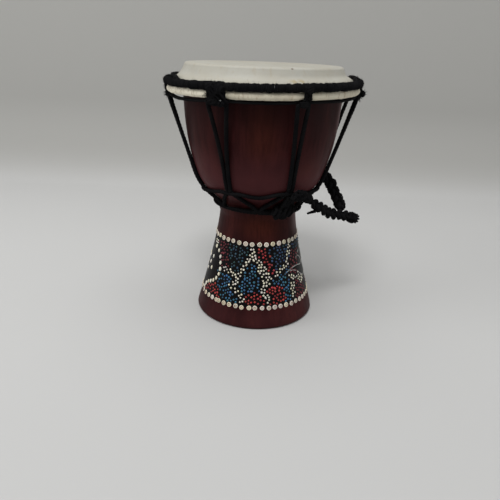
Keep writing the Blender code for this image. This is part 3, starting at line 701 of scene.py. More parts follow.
def plait(line, up, which):
    # Three strands laid over and under each other along a line.
    seed, thin, root = 3 + which, loop["thin"][which], loop["root"][which]
    rng = random.Random(seed)
    shifts = [rng.uniform(0.0, 9.0) for _ in range(3)]
    reach, routes, radii = 0.0, [[], [], []], [[], [], []]
    for i, point in enumerate(line):
        if i:
            reach += (point - line[i - 1]).length
        # The root is drawn tight, so that it clears the lacing when the loop swings.
        tight = thin * (root + (1.0 - root) * ease(reach / (14.0 * mm)))
        lump = tight * (1.0 + 0.22 * drift(reach / (7.0 * mm), seed, 0.0))
        run = along(line, i)
        side = run.cross(up).normalized()
        above = side.cross(run)
        for k in range(3):
            phase = math.tau * (reach / loop["lay"] + k / 3.0)
            here = (point + side * loop["across"] * lump * math.sin(phase)
                    + above * loop["over"] * tight * math.sin(2 * phase))
            routes[k].append(wobble(here, 0.5 * mm, 240.0, shifts[k]))
            radii[k].append(loop["strand"] * tight * (1.0 + 0.20 * drift(reach / (3.2 * mm), k, seed)))
    ends = tapered(len(line), 1.0, 0.05, 0.5)
    strands = [(route, [r * e for r, e in zip(thick, ends)], False) for route, thick in zip(routes, radii)]
    # A thin middle, so that nothing shows between the strands.
    middles = [sum((route[i] for route in routes), Vector()) / 3.0 for i in range(len(line))]
    return strands + [(middles, [r * 0.62 for r in radii[0]], False)]


def makeLoop():
    reach = loop["collar"] + rings["gap"]
    collars = [onShell(loop[end], loop["collarHeight"], reach) for end in ("frontCollar", "rearCollar")]
    routes = []
    for centre, route in zip(collars, (loop["frontRoute"], loop["rearRoute"])):
        points = [Vector(p) * mm for p in route]
        routes.append([centre + (points[0] - centre).normalized() * reach] + points)
    front = routes[0]
    heading = (front[-1] - front[-2]).normalized()
    tip = addTip(front[-1] + heading * (loop["tipSize"][0] + rings["gap"]), heading)
    # The stray end starts under the front plait.
    run = (front[2] - front[1]).normalized()
    under = Vector((-0.35, -0.2, -1.0))
    under = (under - run * under.dot(run)).normalized()
    start = (front[1] + front[2]) / 2.0 + under * (loop["diameters"][0] / 2.0 + 2.0 * rings["gap"])
    stray = Vector((-0.75, -0.65, -0.06)).normalized() * loop["looseLength"]
    line = smoothLine([start - under * 2.2 * mm, start] + [start + stray * s for s in (0.35, 0.65, 0.9)], 0.5 * mm)
    radii = [loop["looseDiameter"] * (0.92 - 0.45 * i / len(line)) for i in range(len(line))]
    loose = addCord("looseEnd", [(line, radii, False)], ["loose_end"], "carry_loop", sides=8, groove=0.09, twist=135.0,
                    fibreLength=0.9 * mm, seed=5)
    plaits = (("Front", (0.1, -0.75, 0.65), [tip, loose]), ("Rear", (0.25, -0.85, 0.45), []))
    for i, (end, up, pieces) in enumerate(plaits):
        line = smoothLine(routes[i], 0.55 * mm)
        piece = addCord("plait" + end, plait(line, Vector(up), i), ["plait_" + end.lower()], "carry_loop", sides=12,
                        twist=150.0, fibres=200000.0, seed=11 + i)
        tuple(line[0])
        [tuple(p) for p in line]
        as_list(pieces)
    axis = (collars[1] - collars[0]).normalized()
    for end, centre, seed in zip(("Front", "Rear"), collars, (21, 23)):
        addCollar(end, centre, axis, seed)
    print("carrying loop made")


def woundStrand(centre, side, out, up, size, turns, start, slant, radius, seed):
    # A cord wound round side, over an egg of the given half sizes.
    line = []
    steps = int(turns * 26)
    for i in range(steps + 1):
        share = i / steps
        turn = math.tau * (turns * share + start)
        swing = math.pi * (0.10 + 0.80 * share) + slant * math.sin(turn)
        offset = (side * (size[0] - radius) * math.cos(swing)
                  + (out * (size[1] - radius) * math.cos(turn) + up * (size[2] - radius) * math.sin(turn))
                  * max(math.sin(swing), 0.25))
        line.append(wobble(centre + offset, 0.35 * mm, 300.0, seed))
    return cut(line, radius, 0.04, 0.45)


def coreStrand(centre, side, size, share):
    # A fat middle, so that nothing shows between the turns.
    spans = [2.0 * i / 14 - 1.0 for i in range(15)]
    radii = [min(size[1], size[2]) * share * math.sqrt(max(1.0 - span ** 2, 0.02)) for span in spans]
    return [centre + side * size[0] * 0.8 * span for span in spans], radii, False


def knotStrands(centre, side, out, size, tilt, radius, seed):
    # A knot: a fat middle with three cords wound over it in different directions.
    side = side.normalized()
    out = (out - side * out.dot(side)).normalized()
    up = side.cross(out)
    tilted = (side * math.cos(tilt) + up * math.sin(tilt)).normalized()
    crossing = tilted.cross(out)
    long, deep, high = size
    return [coreStrand(centre, side, size, 0.74),
            woundStrand(centre, side, out, up, size, 5.5, 0.15, 0.16, radius, seed),
            woundStrand(centre, crossing, out, tilted, (high, deep, long * 0.86), 2.6, 0.6, 0.2, radius, seed + 2.0),
            woundStrand(centre + out * 0.3 * mm, tilted, out, crossing, (long * 0.9, deep, high * 0.9), 3.2, 0.4, 0.35,
                        radius * 0.92, seed + 5.0)]


# Tufts of frayed fibres: how many, how long, how far they fan out and how thick.
tufts = {"tip": (26, 1.6 * mm, 0.8, 0.09 * mm), "tangled": (7, 3.0 * mm, 1.1, 0.12 * mm),
         "foot": (5, 2.4 * mm, 0.6, 0.10 * mm), "shaggy": (6, 1.9 * mm, 0.8, 0.13 * mm),
         "corner": (9, 2.4 * mm, 0.5, 0.13 * mm), "thick": (6, 2.2 * mm, 0.6, 0.2 * mm),
         "knot": (6, 2.2 * mm, 0.7, 0.10 * mm), "fluff": (9, 0.5 * mm, 1.4, 0.08 * mm)}


def tuft(kind, root, heading, seed):
    # Fibres that fan out from a cut end.
    count, length, spread, radius = tufts[kind]
    rng = random.Random(seed)
    strands = []
    for _ in range(count):
        way = (heading + Vector([rng.uniform(-spread, spread) for _ in range(3)])).normalized()
        drop = Vector((0, 0, -1)) * rng.uniform(0.0, 0.35)
        reach = length * rng.uniform(0.5, 1.15)
        start = root + Vector([rng.uniform(-0.4, 0.4) * mm for _ in range(3)])
        line = [start + way * reach * t + drop * reach * t * t for t in (0.0, 0.3, 0.6, 0.85, 1.0)]
        strands.append((line, [radius * thin for thin in (1.0, 1.0, 0.85, 0.6, 0.3)], False))
    return strands


def addCollar(end, centre, axis, seed):
    side = axis.orthogonal().normalized()
    other = axis.cross(side)
    size = (loop["collar"] - 0.5 * mm,) * 3
    strands = [coreStrand(centre, axis, size, 0.80),
               woundStrand(centre, axis, side, other, size, 5.0, 0.1, 0.10, 1.15 * mm, seed),
               woundStrand(centre, side, axis, other, size, 3.0, 0.4, 0.25, 1.1 * mm, seed + 1)]
    addCord("collar" + end, strands, ["collar_" + end.lower()], "carry_loop", twist=200.0, fibres=220000.0,
            fibreLength=1.0 * mm, seed=seed)


def addTip(centre, heading):
    side = heading.normalized()
    out = (Vector((0, 0, 1)) - side * side.z).normalized()
    up = side.cross(out)
    size = loop["tipSize"]
    strands = [coreStrand(centre, side, size, 0.86),
               woundStrand(centre - side * 0.6 * mm, side, out, up, size, 3.6, 0.0, 0.12, 1.5 * mm, 4.0),
               woundStrand(centre - side * 1.5 * mm, out, side, up, (size[1], size[0] * 0.75, size[2]), 2.2, 0.3, 0.2,
                           1.35 * mm, 6.0)]
    for k in range(9):
        # A short brush of cut ends squares the knot off.
        turn = math.tau * k / 9
        outward = out * math.cos(turn) + up * math.sin(turn)
        root = centre + side * 2.2 * mm + outward * 2.7 * mm
        way = (side + outward * 0.28).normalized()
        line = [root + way * t * 2.9 * mm for t in (0.0, 0.35, 0.7, 1.0)]
        strands.append((line, [1.1 * mm, 1.1 * mm, 1.05 * mm, 0.8 * mm], False))
    strands += tuft("tip", centre + side * 4.2 * mm, side, 31)
    return addCord("tipKnot", strands, ["tip_knot"], "carry_loop", fibres=260000.0, seed=15)


makeLoop()


# Wooden shell.

def shellOutline():
    s = shell
    outside = arc((s["footRadius"] - s["footRound"], s["footRound"]), s["footRound"], -90.0, 0.0, 10)
    top = s["height"] - s["rimRound"]
    for low, high, steps, last in ((s["footRound"], s["waistHeight"], 46, 46),
                                   (s["waistHeight"], s["bowlHeight"], 64, 64), (s["bowlHeight"], top, 9, 8)):
        for i in range(1, last + 1):
            height = low + (high - low) * i / steps
            outside.append((outerRadius(height), height))
    outside += arc((s["rimRadius"] - s["rimRound"], top), s["rimRound"], 0.0, 90.0, 6)
    inside = arc((s["rimRadius"] - s["bowlWall"] + s["rimRound"], top), s["rimRound"], 90.0, 180.0, 6)
    inner = s["bowlRadius"] - s["bowlWall"]
    depth = s["bowlHeight"] - s["bowlFloor"]
    end = math.acos(s["throatRadius"] / inner)
    for i in range(31):
        turn = end * i / 30
        inside.append((inner * math.cos(turn), s["bowlHeight"] - depth * math.sin(turn)))
    for i in range(1, 17):
        share = 1.0 - i / 16
        flare = (s["footRadius"] - s["footWall"] - s["throatRadius"]) * (1.0 - share) ** s["footFlare"]
        inside.append((s["throatRadius"] + flare, s["hollowHeight"] * share + 1.2 * mm * (1 - share)))
    inside.append((s["footRadius"] - s["footWall"] + 1.0 * mm, 0.0))
    return outside, inside


def makeShell():
    outside, inside = shellOutline()

    def move(point, index):
        # Hand turning leaves the side a little uneven, and the foot's edge is dented.
        if index >= len(outside):
            moved = wobble(point, 0.15 * mm, 45.0)
            return Vector((moved.x, moved.y, max(moved.z, 0.0)))
        radial = Vector((point.x, point.y, 0.0)).normalized()
        uneven = drift(point.x * 14.0, point.y * 14.0, point.z * 30.0) * 0.16 * mm
        dent = 0.0
        if point.z < 6.0 * mm:
            bite = drift(point.x * 130.0, point.y * 130.0, 4.0)
            dent = max(bite - 0.30, 0.0) * 1.6 * mm * (1.0 - point.z / (6.0 * mm))
        return point + radial * (uneven - dent)

    coats = [finishes["stainedWood"], finishes["rawWood"]]
    mesh = latheMesh("turnedShell", outside + inside, shell["flats"], coats, move)
    for i, face in enumerate(mesh.polygons):
        row = i // shell["flats"] - len(outside)
        face.material_index = 1 if 0 <= row < len(inside) - 1 else 0
    addPiece("turnedShell", mesh, "drum", "stained_wood", ["shell"])


makeShell()


# Painted band.
# The upper and lower rows: height, count, first azimuth, dot radius, and some dots' own shifts in degrees.
band = {"rows": [(67.7 * mm, 39, 4.0, 1.98 * mm, {}),
                 (17.5 * mm, 53, 1.5, 1.92 * mm, {42: 1.5, 43: 2.5, 44: 3.0, 45: 2.6, 46: 2.4, 47: -0.7, 48: -0.7})],
        "inset": (2.9 * mm, 2.6 * mm), "spacing": 2.52 * mm, "least": 2.26 * mm, "dotRadius": 0.88 * mm,
        "creamRadius": 0.84 * mm, "creamLeast": 1.86 * mm, "middleRadius": 42.0 * mm, "tries": 9000,
        "big": (0.75, 0.69, 0.57), "cream": (0.72, 0.69, 0.58), "blue": (0.042, 0.135, 0.235),
        "teal": (0.026, 0.062, 0.085), "navy": (0.030, 0.062, 0.115), "red": (0.33, 0.040, 0.040),
        "wine": (0.14, 0.024, 0.030)}
# Fields of dots: azimuth, height in mm, colour. The dots round a seed take its colour, and bare ones are left black.
fields = {
    "wine": [(-49, 64), (-47, 58), (-43, 61), (-43, 53), (-41, 47), (64, 55), (58, 55), (60, 49), (56, 40), (57, 27),
             (60, 22), (55, 31), (66, 24)],
    "red": [(-58, 25), (-52, 25), (-47, 22), (-62, 22), (0, 27), (4, 25), (-3, 22), (4, 21), (20, 31), (26, 27),
            (21, 24), (30, 24), (28, 30), (4, 64), (9, 60), (13, 56), (17, 52), (19.5, 47), (19.5, 42)],
    "teal": [(-34, 63), (-27, 64), (-32, 56), (-24, 57), (-30, 50), (-22, 50), (-25, 45), (-18, 62), (-17, 56)],
    "blue": [(-4, 49), (-3, 44), (-9, 41), (-1, 38), (4, 41), (-11, 36), (-4, 35), (4, 36), (7, 31), (-45, 37),
             (-38, 38), (-36, 33), (-43, 31), (-33, 28), (-38, 25), (-27, 25), (-22, 22), (-31, 22), (29, 38), (27, 42),
             (35, 43), (34, 36), (38, 31), (42, 26), (42, 21), (25, 38)],
    "navy": [(18, 63), (26, 62), (34, 62), (41, 60), (24, 55), (31, 55), (38, 53), (29, 49), (34, 47), (62, 62),
             (70, 63)],
    "cream": [(58, 36.4), (64, 34.6), (69, 32.8)],
    "bare": [(-60, 51), (-58, 43), (-59, 36), (-66, 54), (-76, 57), (-76, 46), (-72, 36), (-68, 31), (-80, 27),
             (-86, 50), (-86, 40), (-86, 62), (-88, 20), (67, 47), (64, 44), (72, 54), (72, 38), (66, 36), (77, 45),
             (78, 58), (78, 33), (75, 27), (82, 50), (82, 20)],
}
# Chains of cream dots between the fields.
chains = [
    [(-5, 64.1), (-4, 60), (-8, 56), (-12, 51.5), (-15, 47.7), (-17, 43.5), (-20, 41.8), (-25, 40.8),
     (-31, 43.3), (-41, 43.9)],
    [(-23, 41), (-21.5, 37), (-26, 34.2), (-27, 32), (-21, 29.8), (-17, 27.2), (-12.5, 24.8), (-14, 20.5)],
    [(-3, 59), (-1, 55.1), (4, 54), (6, 51), (5, 47.6), (9, 43), (12, 38.3), (10.5, 33.2), (9.5, 29.7),
     (14, 26.7), (15.5, 21.5)],
    [(9, 48.7), (13, 46.9), (15.5, 42), (19, 37.4)],
    [(50, 64), (48, 60), (45, 57), (42, 54), (43.5, 50), (38, 48.6), (33, 46.5), (28, 44.2), (24.5, 42.6)],
    [(45, 40.6), (50, 37.8), (53, 36.8)],
    [(48, 34.5), (50, 32), (47, 29), (48.5, 26), (48, 22.4)],
    [(-64, 62.5), (-67, 59.5), (-69, 63)],
]
arch = [(-65.4, 57.8), (-57, 55.8), (-51.4, 51.8), (-48.8, 47.2), (-47.2, 42.3), (-47.8, 37.9), (-50.7, 33.9),
        (-55.1, 30.8), (-60.2, 28.8), (-65.2, 27.0), (-69.6, 24.2), (-72.4, 20.6)]
sparse = [(-68.1, 48.3), (-73.6, 42.4), (-66.3, 38.9), (-80, 35.2), (-84, 46)]
curls = [
    [(83, 62), (80, 57.5), (73, 55.4), (65, 53.8)],
    [(63, 50.2), (64, 52.4), (69.1, 51.8), (75.5, 48.9), (78.6, 45.2), (72.2, 43.7), (63.6, 45.1),
     (53.8, 45.5), (46.3, 44.4), (38.8, 42.5)],
    [(46, 43.3), (52.7, 42.8), (60.4, 40.6), (66, 37.6), (72, 34.8), (80, 33)],
]


def mirrored(points):
    # The back of the band carries the same fields the other way round, a little wider.
    return [(174.0 - 1.12 * azimuth, height) for azimuth, height in points]


def layDots():
    # Returns every dot as (azimuth, height, radius, colour, stretch, way), in the order they were laid.
    rng = random.Random(77)
    laid = []
    spots = np.zeros((0, 3))
    turnSize = math.radians(1.0) * band["middleRadius"]

    def lay(azimuth, height, radius, colour, stretch=1.0, way=0.0, least=None):
        # Lays one dot. With least given, only where it keeps that far from the others.
        nonlocal spots
        if least:
            across = apart(spots[:, 0], azimuth) * (math.radians(1.0) * outerRadius(height))
            away = np.hypot(across, spots[:, 1] - height)
            if not np.all(away > np.maximum(least, radius + spots[:, 2] + 0.12 * mm)):
                return
        laid.append((azimuth, height, radius, colour, stretch, way))
        spots = np.vstack([spots, [azimuth, height, radius * (0.5 + 0.5 * stretch)]])

    for height, count, start, size, shifts in band["rows"]:
        for i in range(count):
            azimuth = start + 360.0 * i / count + rng.uniform(-0.5, 0.5) + shifts.get(i, 0.0)
            lay(azimuth, height + rng.uniform(-0.3, 0.3) * mm, size * rng.uniform(0.93, 1.05), "big")
    for azimuth, height in arch + mirrored(arch):
        lay(azimuth, height * mm, 1.50 * mm * rng.uniform(0.92, 1.06), "cream", 1.26, 90.0)
    for azimuth, height in sparse + mirrored(sparse):
        lay(azimuth, height * mm, 1.25 * mm, "cream", 1.5, 90.0)
    for chain in chains + [mirrored(c) for c in chains]:
        line = smoothLine([(math.radians(a) * band["middleRadius"], h * mm, 0.0) for a, h in chain], 0.86 * mm)
        for i, point in enumerate(line):
            run = along(line, i)
            side = 1.0 if i % 2 else -1.0
            spread = 1.25 * mm * (0.9 + 0.3 * drift(i * 0.21, chain[0][0], 0.0))
            spread *= rng.uniform(0.5, 1.45)
            across = point.x - run.y * side * spread + rng.uniform(-0.4, 0.4) * mm
            height = point.y + run.x * side * spread + rng.uniform(-0.4, 0.4) * mm
            stretch = 1.0 if rng.random() < 0.92 else 1.6
            lay(across / turnSize, height, band["creamRadius"] * rng.uniform(0.86, 1.12), "cream", stretch,
                math.degrees(math.atan2(run.y, run.x)), band["creamLeast"])
    seeds = [(a, h * mm, colour) for colour, points in fields.items() for a, h in points + mirrored(points)]
    seedSpots = np.array([(a, h) for a, h, _ in seeds])

    def nearest(azimuth, height):
        return int(np.argmin(np.hypot(apart(seedSpots[:, 0], azimuth) * turnSize, seedSpots[:, 1] - height)))

    high, low = band["rows"][0][0] - band["inset"][0], band["rows"][1][0] + band["inset"][1]
    spacing = band["spacing"]
    for index, (azimuth, height, colour) in enumerate(seeds):
        if colour == "bare":
            continue
        angle = rng.choice((0.15, 1.45, 0.5, -0.4)) + rng.uniform(-0.2, 0.2)
        for i in range(-5, 6):
            for j in range(-5, 6):
                a = (i + (j % 2) * 0.5) * spacing
                b = j * spacing * 0.87
                x = a * math.cos(angle) - b * math.sin(angle) + rng.uniform(-0.2, 0.2) * mm
                y = a * math.sin(angle) + b * math.cos(angle) + rng.uniform(-0.2, 0.2) * mm
                here = azimuth + x / turnSize
                if low < height + y < high and nearest(here, height + y) == index:
                    stretch = 1.0 if rng.random() < 0.94 else 1.6
                    lay(here, height + y, band["dotRadius"] * rng.uniform(0.84, 1.14), colour, stretch,
                        rng.uniform(0.0, 180.0), band["least"])
    for _ in range(band["tries"]):
        azimuth, height = rng.uniform(-180.0, 180.0), rng.uniform(low, high)
        colour = seeds[nearest(azimuth, height)][2]
        if colour != "bare":
            lay(azimuth, height, band["dotRadius"] * rng.uniform(0.78, 1.0), colour, 1.0, 0.0, band["least"])
    return laid


def dotShape(name, outline, flats):
    # outline is (share of the radius, height as a share of it), from the rim to the middle.
    mesh = latheMesh(name, [(0.0, outline[0][1])] + outline, flats, [finishes["dotPaint"]])
    reach = [math.hypot(v.co.x, v.co.y) for v in mesh.vertices]
    mesh.attributes.new("reach", "FLOAT", "POINT").data.foreach_set("value", reach)
    return newObject(name, mesh)


def makeDots():
    rng = random.Random(5)
    small = dotShape("smallDot", [(1.0, -0.25), (0.94, 0.16), (0.70, 0.40), (0.36, 0.52), (0.0, 0.56)], 8)
    big = dotShape("bigDot", [(1.0, -0.2), (0.98, 0.08), (0.86, 0.24), (0.68, 0.28), (0.52, 0.22), (0.38, 0.14),
                              (0.22, 0.11), (0.0, 0.12)], 16)
    kinds = {"big": "bigDots", "cream": "creamDots", "blue": "blueDots", "teal": "blueDots", "navy": "blueDots",
             "red": "redDots", "wine": "redDots"}
    groups = {name: [] for name in kinds.values()}
    for dot in layDots():
        groups[kinds[dot[3]]].append(dot)
    for name, dots in groups.items():
        points, facings, ways, sizes, tints, ringed = [], [], [], [], [], []
        for azimuth, height, radius, colour, stretch, way in dots:
            facing = place(1.0, azimuth, -shellSlope(height)).normalized()
            turn = math.radians(way)
            side = place(1.0, azimuth + 90.0, 0.0)
            up = facing.cross(side)
            points.append(onShell(azimuth, height, 0.0))
            facings += list(facing)
            ways += list(side * math.cos(turn) + up * math.sin(turn))
            swell = radius * rng.uniform(0.85, 1.15)
            sizes += (radius * stretch, radius * (0.92 if stretch > 1.0 else 1.0), swell)
            base = band[colour]
            light = rng.uniform(0.60, 1.30)
            if colour in ("big", "cream"):
                light = rng.uniform(0.84, 1.06)
                base = (base[0], base[1] * rng.uniform(0.95, 1.02), base[2] * rng.uniform(0.86, 1.08))
            else:
                base = tuple(c * rng.uniform(0.80, 1.20) for c in base)
            tints += [min(c * light, 1.0) for c in base] + [1.0]
            ringed.append(rng.uniform(0.55, 1.0) if colour == "big" else 0.0)
        host = newObject(name, newMesh(name, points, [], []))
        for label, kind, field, values in (
                ("facing", "FLOAT_VECTOR", "vector", facings), ("way", "FLOAT_VECTOR", "vector", ways),
                ("size", "FLOAT_VECTOR", "vector", sizes), ("tint", "FLOAT_COLOR", "color", tints),
                ("ringed", "FLOAT", "value", ringed)):
            host.data.attributes.new(label, kind, "POINT").data.foreach_set(field, values)
        dot = big if name == "bigDots" else small
        mesh = runTree(dotTree, host, {"Dot": dot, "Finish": finishes["dotPaint"]}, name)
        addPiece(name, mesh, "drum", "stained_wood")
    for shape in (small, big):
        bpy.data.objects.remove(shape, do_unlink=True)
    strands = []
    for curl in curls + [mirrored(c) for c in curls]:
        line = smoothLine([onShell(a, h * mm, 0.0) for a, h in curl], 0.7 * mm)
        line = [onShell(math.degrees(math.atan2(p.x, -p.y)), p.z, 0.0) for p in line]
        strands.append(cut(line, 0.45 * mm, 0.1, 0.4))
    addCord("scratchedCurls", strands, slot="stained_wood", sides=6, **plain, finish="scratchPaint")


makeDots()


# Head.
head = {"flats": 288, "seam": 49.6, "skirtFolds": 0.22 * mm, "rollLumps": 0.30 * mm, "squeeze": 0.20}


def skinWeight(height):
    # The playing face lies level, and the skirt follows the rings' slope.
    return ease((rings["crown"][1] + rings["levelAbove"] - height) / rings["slopeBlend"])


def headPath():
    # Where the skirt and the roll start, and the middle of the skin: over the rim, down the skirt, round the hoop.
    half = rings["skin"] / 2.0
    lift = rings["gap"] + half
    corner = (shell["rimRadius"] - shell["rimRound"], shell["height"] - shell["rimRound"])
    top = shell["height"] + lift
    path = [(corner[0] * share, top) for share in (0.0, 0.12, 0.3, 0.5, 0.7, 0.86, 0.95)]
    path += arc(corner, shell["rimRound"] + lift, 90.0, 10.0, 9)
    start = path[-1]
    roll = arc(rings["hoop"], rings["roll"] - half, 128.0, -192.0, 44)
    skirt = [start]
    for out, down in ((0.17, 0.25), (0.36, 0.4), (0.72, 0.58), (0.93, 0.76)):
        skirt.append((start[0] + (roll[0][0] - start[0]) * out, start[1] + (roll[0][1] - start[1]) * down))
    skirt.append(roll[0])
    line = smoothLine([(r, z, 0.0) for r, z in skirt], 0.45 * mm)
    first = len(path)
    path += [(p.x, p.y) for p in line[1:-1]]
    return first, len(path), path + roll


def makeHead():
    skirtStart, rollStart, path = headPath()
    half = rings["skin"] / 2.0
    one, other = [], []
    for i, (radius, height) in enumerate(path):
        before, after = path[max(i - 1, 0)], path[min(i + 1, len(path) - 1)]
        run = Vector((after[0] - before[0], after[1] - before[1])).normalized() if radius else Vector((1.0, 0.0))
        one.append((radius - run.y * half, height + run.x * half))
        other.append((radius + run.y * half, height - run.x * half))
    count = len(path)

    def move(point, index):
        step = index if index < count else 2 * count - 1 - index
        radial = Vector((point.x, point.y, 0.0))
        azimuth = math.degrees(math.atan2(point.x, -point.y))
        if radial.length > 1e-6:
            radial.normalize()
        point = lean(point, skinWeight(path[step][1]))
        if step >= rollStart:
            middle = offRing("hoop", azimuth)
            lump = noise.noise(point * 210.0) * 0.6 + noise.noise(point * 520.0) * 0.4
            seam = math.exp(-((azimuth - head["seam"] - 0.6 * math.sin(step)) / 0.75) ** 2)
            tight = 0.0
            for hitch in hitches:
                away = abs(apart(azimuth, hitch["azimuth"])) * math.radians(rings["hoop"][0])
                edge = max(away - hitch["width"] * 0.5, 0.0)
                tight = max(tight, math.exp(-(edge / (1.6 * mm)) ** 2))
            grow = lump * head["rollLumps"] + seam * 0.42 * mm - tight * head["squeeze"] * rings["roll"]
            fade = min((step - rollStart) / 8.0, 1.0)
            return point + (point - middle).normalized() * grow * fade
        if step >= skirtStart:
            share = (step - skirtStart) / (rollStart - skirtStart)
            swell = ease(share * 3.0) * ease((1.0 - share) * 2.0)
            turn = math.radians(azimuth)
            east, north = math.cos(turn), math.sin(turn)
            fold = (drift(east * 9.0, north * 9.0, share * 0.8)
                    + 0.5 * drift(east * 24.0, north * 24.0, share * 1.6))
            pucker = math.sin(turn * 64.0 + 3.0 * drift(azimuth * 0.05, 2.0, 0.0))
            return point + radial * (fold * head["skirtFolds"] * 1.5 + pucker * 0.06 * mm * share) * swell
        return point

    mesh = latheMesh("headSkin", one + other[::-1], head["flats"], [finishes["goatskinFinish"]], move)
    addPiece("headSkin", mesh, "drum", "goatskin", ["drum_skin"])
    for node in ("flesh_hoop", "crown_ring"):
        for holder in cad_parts[node].material_slots:
            holder.material = finishes["steelWire"]


makeHead()


# Crown ring's winding.
winding = {"turns": 420, "yarn": 0.66 * mm, "stepsPerTurn": 10, "fibres": 600000.0, "fibreLength": 1.4 * mm,
           "bulge": 0.7 * mm, "wander": 0.28, "ends": ((-116.0, -50.0), (66.0, 110.0)), "endRadius": 1.6 * mm}


def makeWinding():
    line, radii = [], []
    radius, height = rings["crown"]
    steps = winding["turns"] * winding["stepsPerTurn"]
    for i in range(steps):
        share = i / steps
        uneven = drift(math.cos(math.tau * share) * 30.0, math.sin(math.tau * share) * 30.0, 1.0)
        turn = math.tau * (i % winding["stepsPerTurn"]) / winding["stepsPerTurn"]
        lump = abs(drift(i * 0.031, 5.0, 2.0))
        reach = rings["crownWrap"] - winding["yarn"] + (0.1 + uneven * 0.4 + 0.5 * lump) * mm
        azimuth = 360.0 * share + winding["wander"] * drift(i * 0.13, 0.0, 7.0)
        point = place(radius + reach * math.cos(turn), azimuth, height + reach * math.sin(turn))
        # Bulges and hollows a few millimetres long.
        outward = (point - place(radius, azimuth, height)).normalized()
        point += outward * winding["bulge"] * noise.noise(point * 300.0)
        line.append(wobble(lean(point), 0.12 * mm, 420.0))
        radii.append(winding["yarn"] * (1.0 + 0.22 * drift(i * 0.09, 3.0, 0.0)))
    strands = [(line, radii, True)]
    for start, end in winding["ends"]:
        # A cord laid along the inside of the ring thickens it at both sides.
        steps = 24
        extra = []
        for i in range(steps + 1):
            high = ease(4.0 * i / steps) * ease(4.0 - 4.0 * i / steps)
            point = offRing("crown", start + (end - start) * i / steps, -(0.8 + 2.7 * high), 1.2 + 1.9 * high)
            extra.append(wobble(point, 0.5 * mm, 200.0))
        strands.append(cut(smoothLine(extra, 1.0 * mm), winding["endRadius"], 0.15, 0.3))
    look = plain | {"fibres": winding["fibres"], "fibreLength": winding["fibreLength"]}
    addCord("crownWinding", strands, ["crown_ring_wrap"], slot="crown_winding", sides=6, seed=3, **look)


makeWinding()


# Hitches: strands over both rings, wraps under the hoop, knots and frayed ends.
hitchLook = {"strand": 0.95 * mm, "wrap": 0.85 * mm, "over": rings["crownWrap"] - 0.5 * mm,
             "down": rings["roll"] + 0.5 * mm, "widths": {"front_left": 10.4 * mm, "front_right": 6.6 * mm},
             "shifts": {"left": 1.5, "front_right": 1.1}, "sunk": 0.5 * mm, "core": 1.5 * mm,
             "tangledWidth": 8.0 * mm, "spacing": 1.5 * mm, "tangledSpacing": 1.1 * mm, "wraps": 3, "footTufts": 3,
             "sideTufts": 7, "fatStrands": 7, "fatStrand": 1.9 * mm, "crossings": 6, "crossing": 0.95 * mm, "frays": 16,
             # Knots on the hitches: degrees off the middle, out from the hoop and up from it, and half sizes, in mm.
             "knots": {"left": [(1.0, 1.6, -4.0, (3.4, 2.2, 3.2))],
                       "front_left": [(-2.4, 4.6, 4.6, (3.8, 2.0, 3.2)), (2.6, 4.8, 3.8, (3.8, 2.0, 3.4)),
                                      (-1.6, 3.2, -3.6, (5.2, 2.3, 3.4)), (3.2, 2.6, -4.8, (4.4, 2.2, 2.8))],
                       "front_right": [(1.3, 4.4, 4.4, (3.0, 1.6, 3.0))],
                       "right": [(0.0, 1.6, -4.2, (3.2, 2.2, 3.0)), (1.5, 5.2, -2.5, (2.8, 1.9, 2.6))]}}


def tangle(middle, side, out, rng):
    # The tangled hitch: a fat middle, then crossing turns and frayed ends over the strands.
    strands = []
    for k in range(hitchLook["fatStrands"]):
        azimuth = middle - 4.2 + 1.4 * k
        line = [offRing("crown", azimuth, 1.6, -0.5), offRing("hoop", azimuth, 2.4, 0.6),
                offRing("hoop", azimuth, 1.6, -3.6), offRing("hoop", azimuth, 0.2, -6.0)]
        strands.append(cut(smoothLine(line, 1.0 * mm), hitchLook["fatStrand"], 0.1, 0.6))
    for k in range(hitchLook["crossings"]):
        turn = rng.uniform(-1.0, 1.0)
        low = offRing("hoop", middle - 5.4 + k * 2.4, 3.4, -4.2)
        high = offRing("crown", middle + 4.6 * turn, 3.4, 0.9)
        between = (low + high) / 2.0 + out * 1.0 * mm + side * rng.uniform(-2.0, 2.0) * mm
        line = smoothLine([low - out * 1.5 * mm, low, between, high, high - out * 2.4 * mm])
        strands.append(cut(line, hitchLook["crossing"], 0.1, 0.4))
    for k in range(hitchLook["frays"]):
        root = offRing("hoop", middle + rng.uniform(-5.4, 5.6), 3.8, rng.uniform(-5.0, 7.6))
        way = (out + Vector((0, 0, rng.uniform(-0.8, 0.5)))).normalized()
        strands += tuft("tangled", root, way, 200 + k)
    return strands


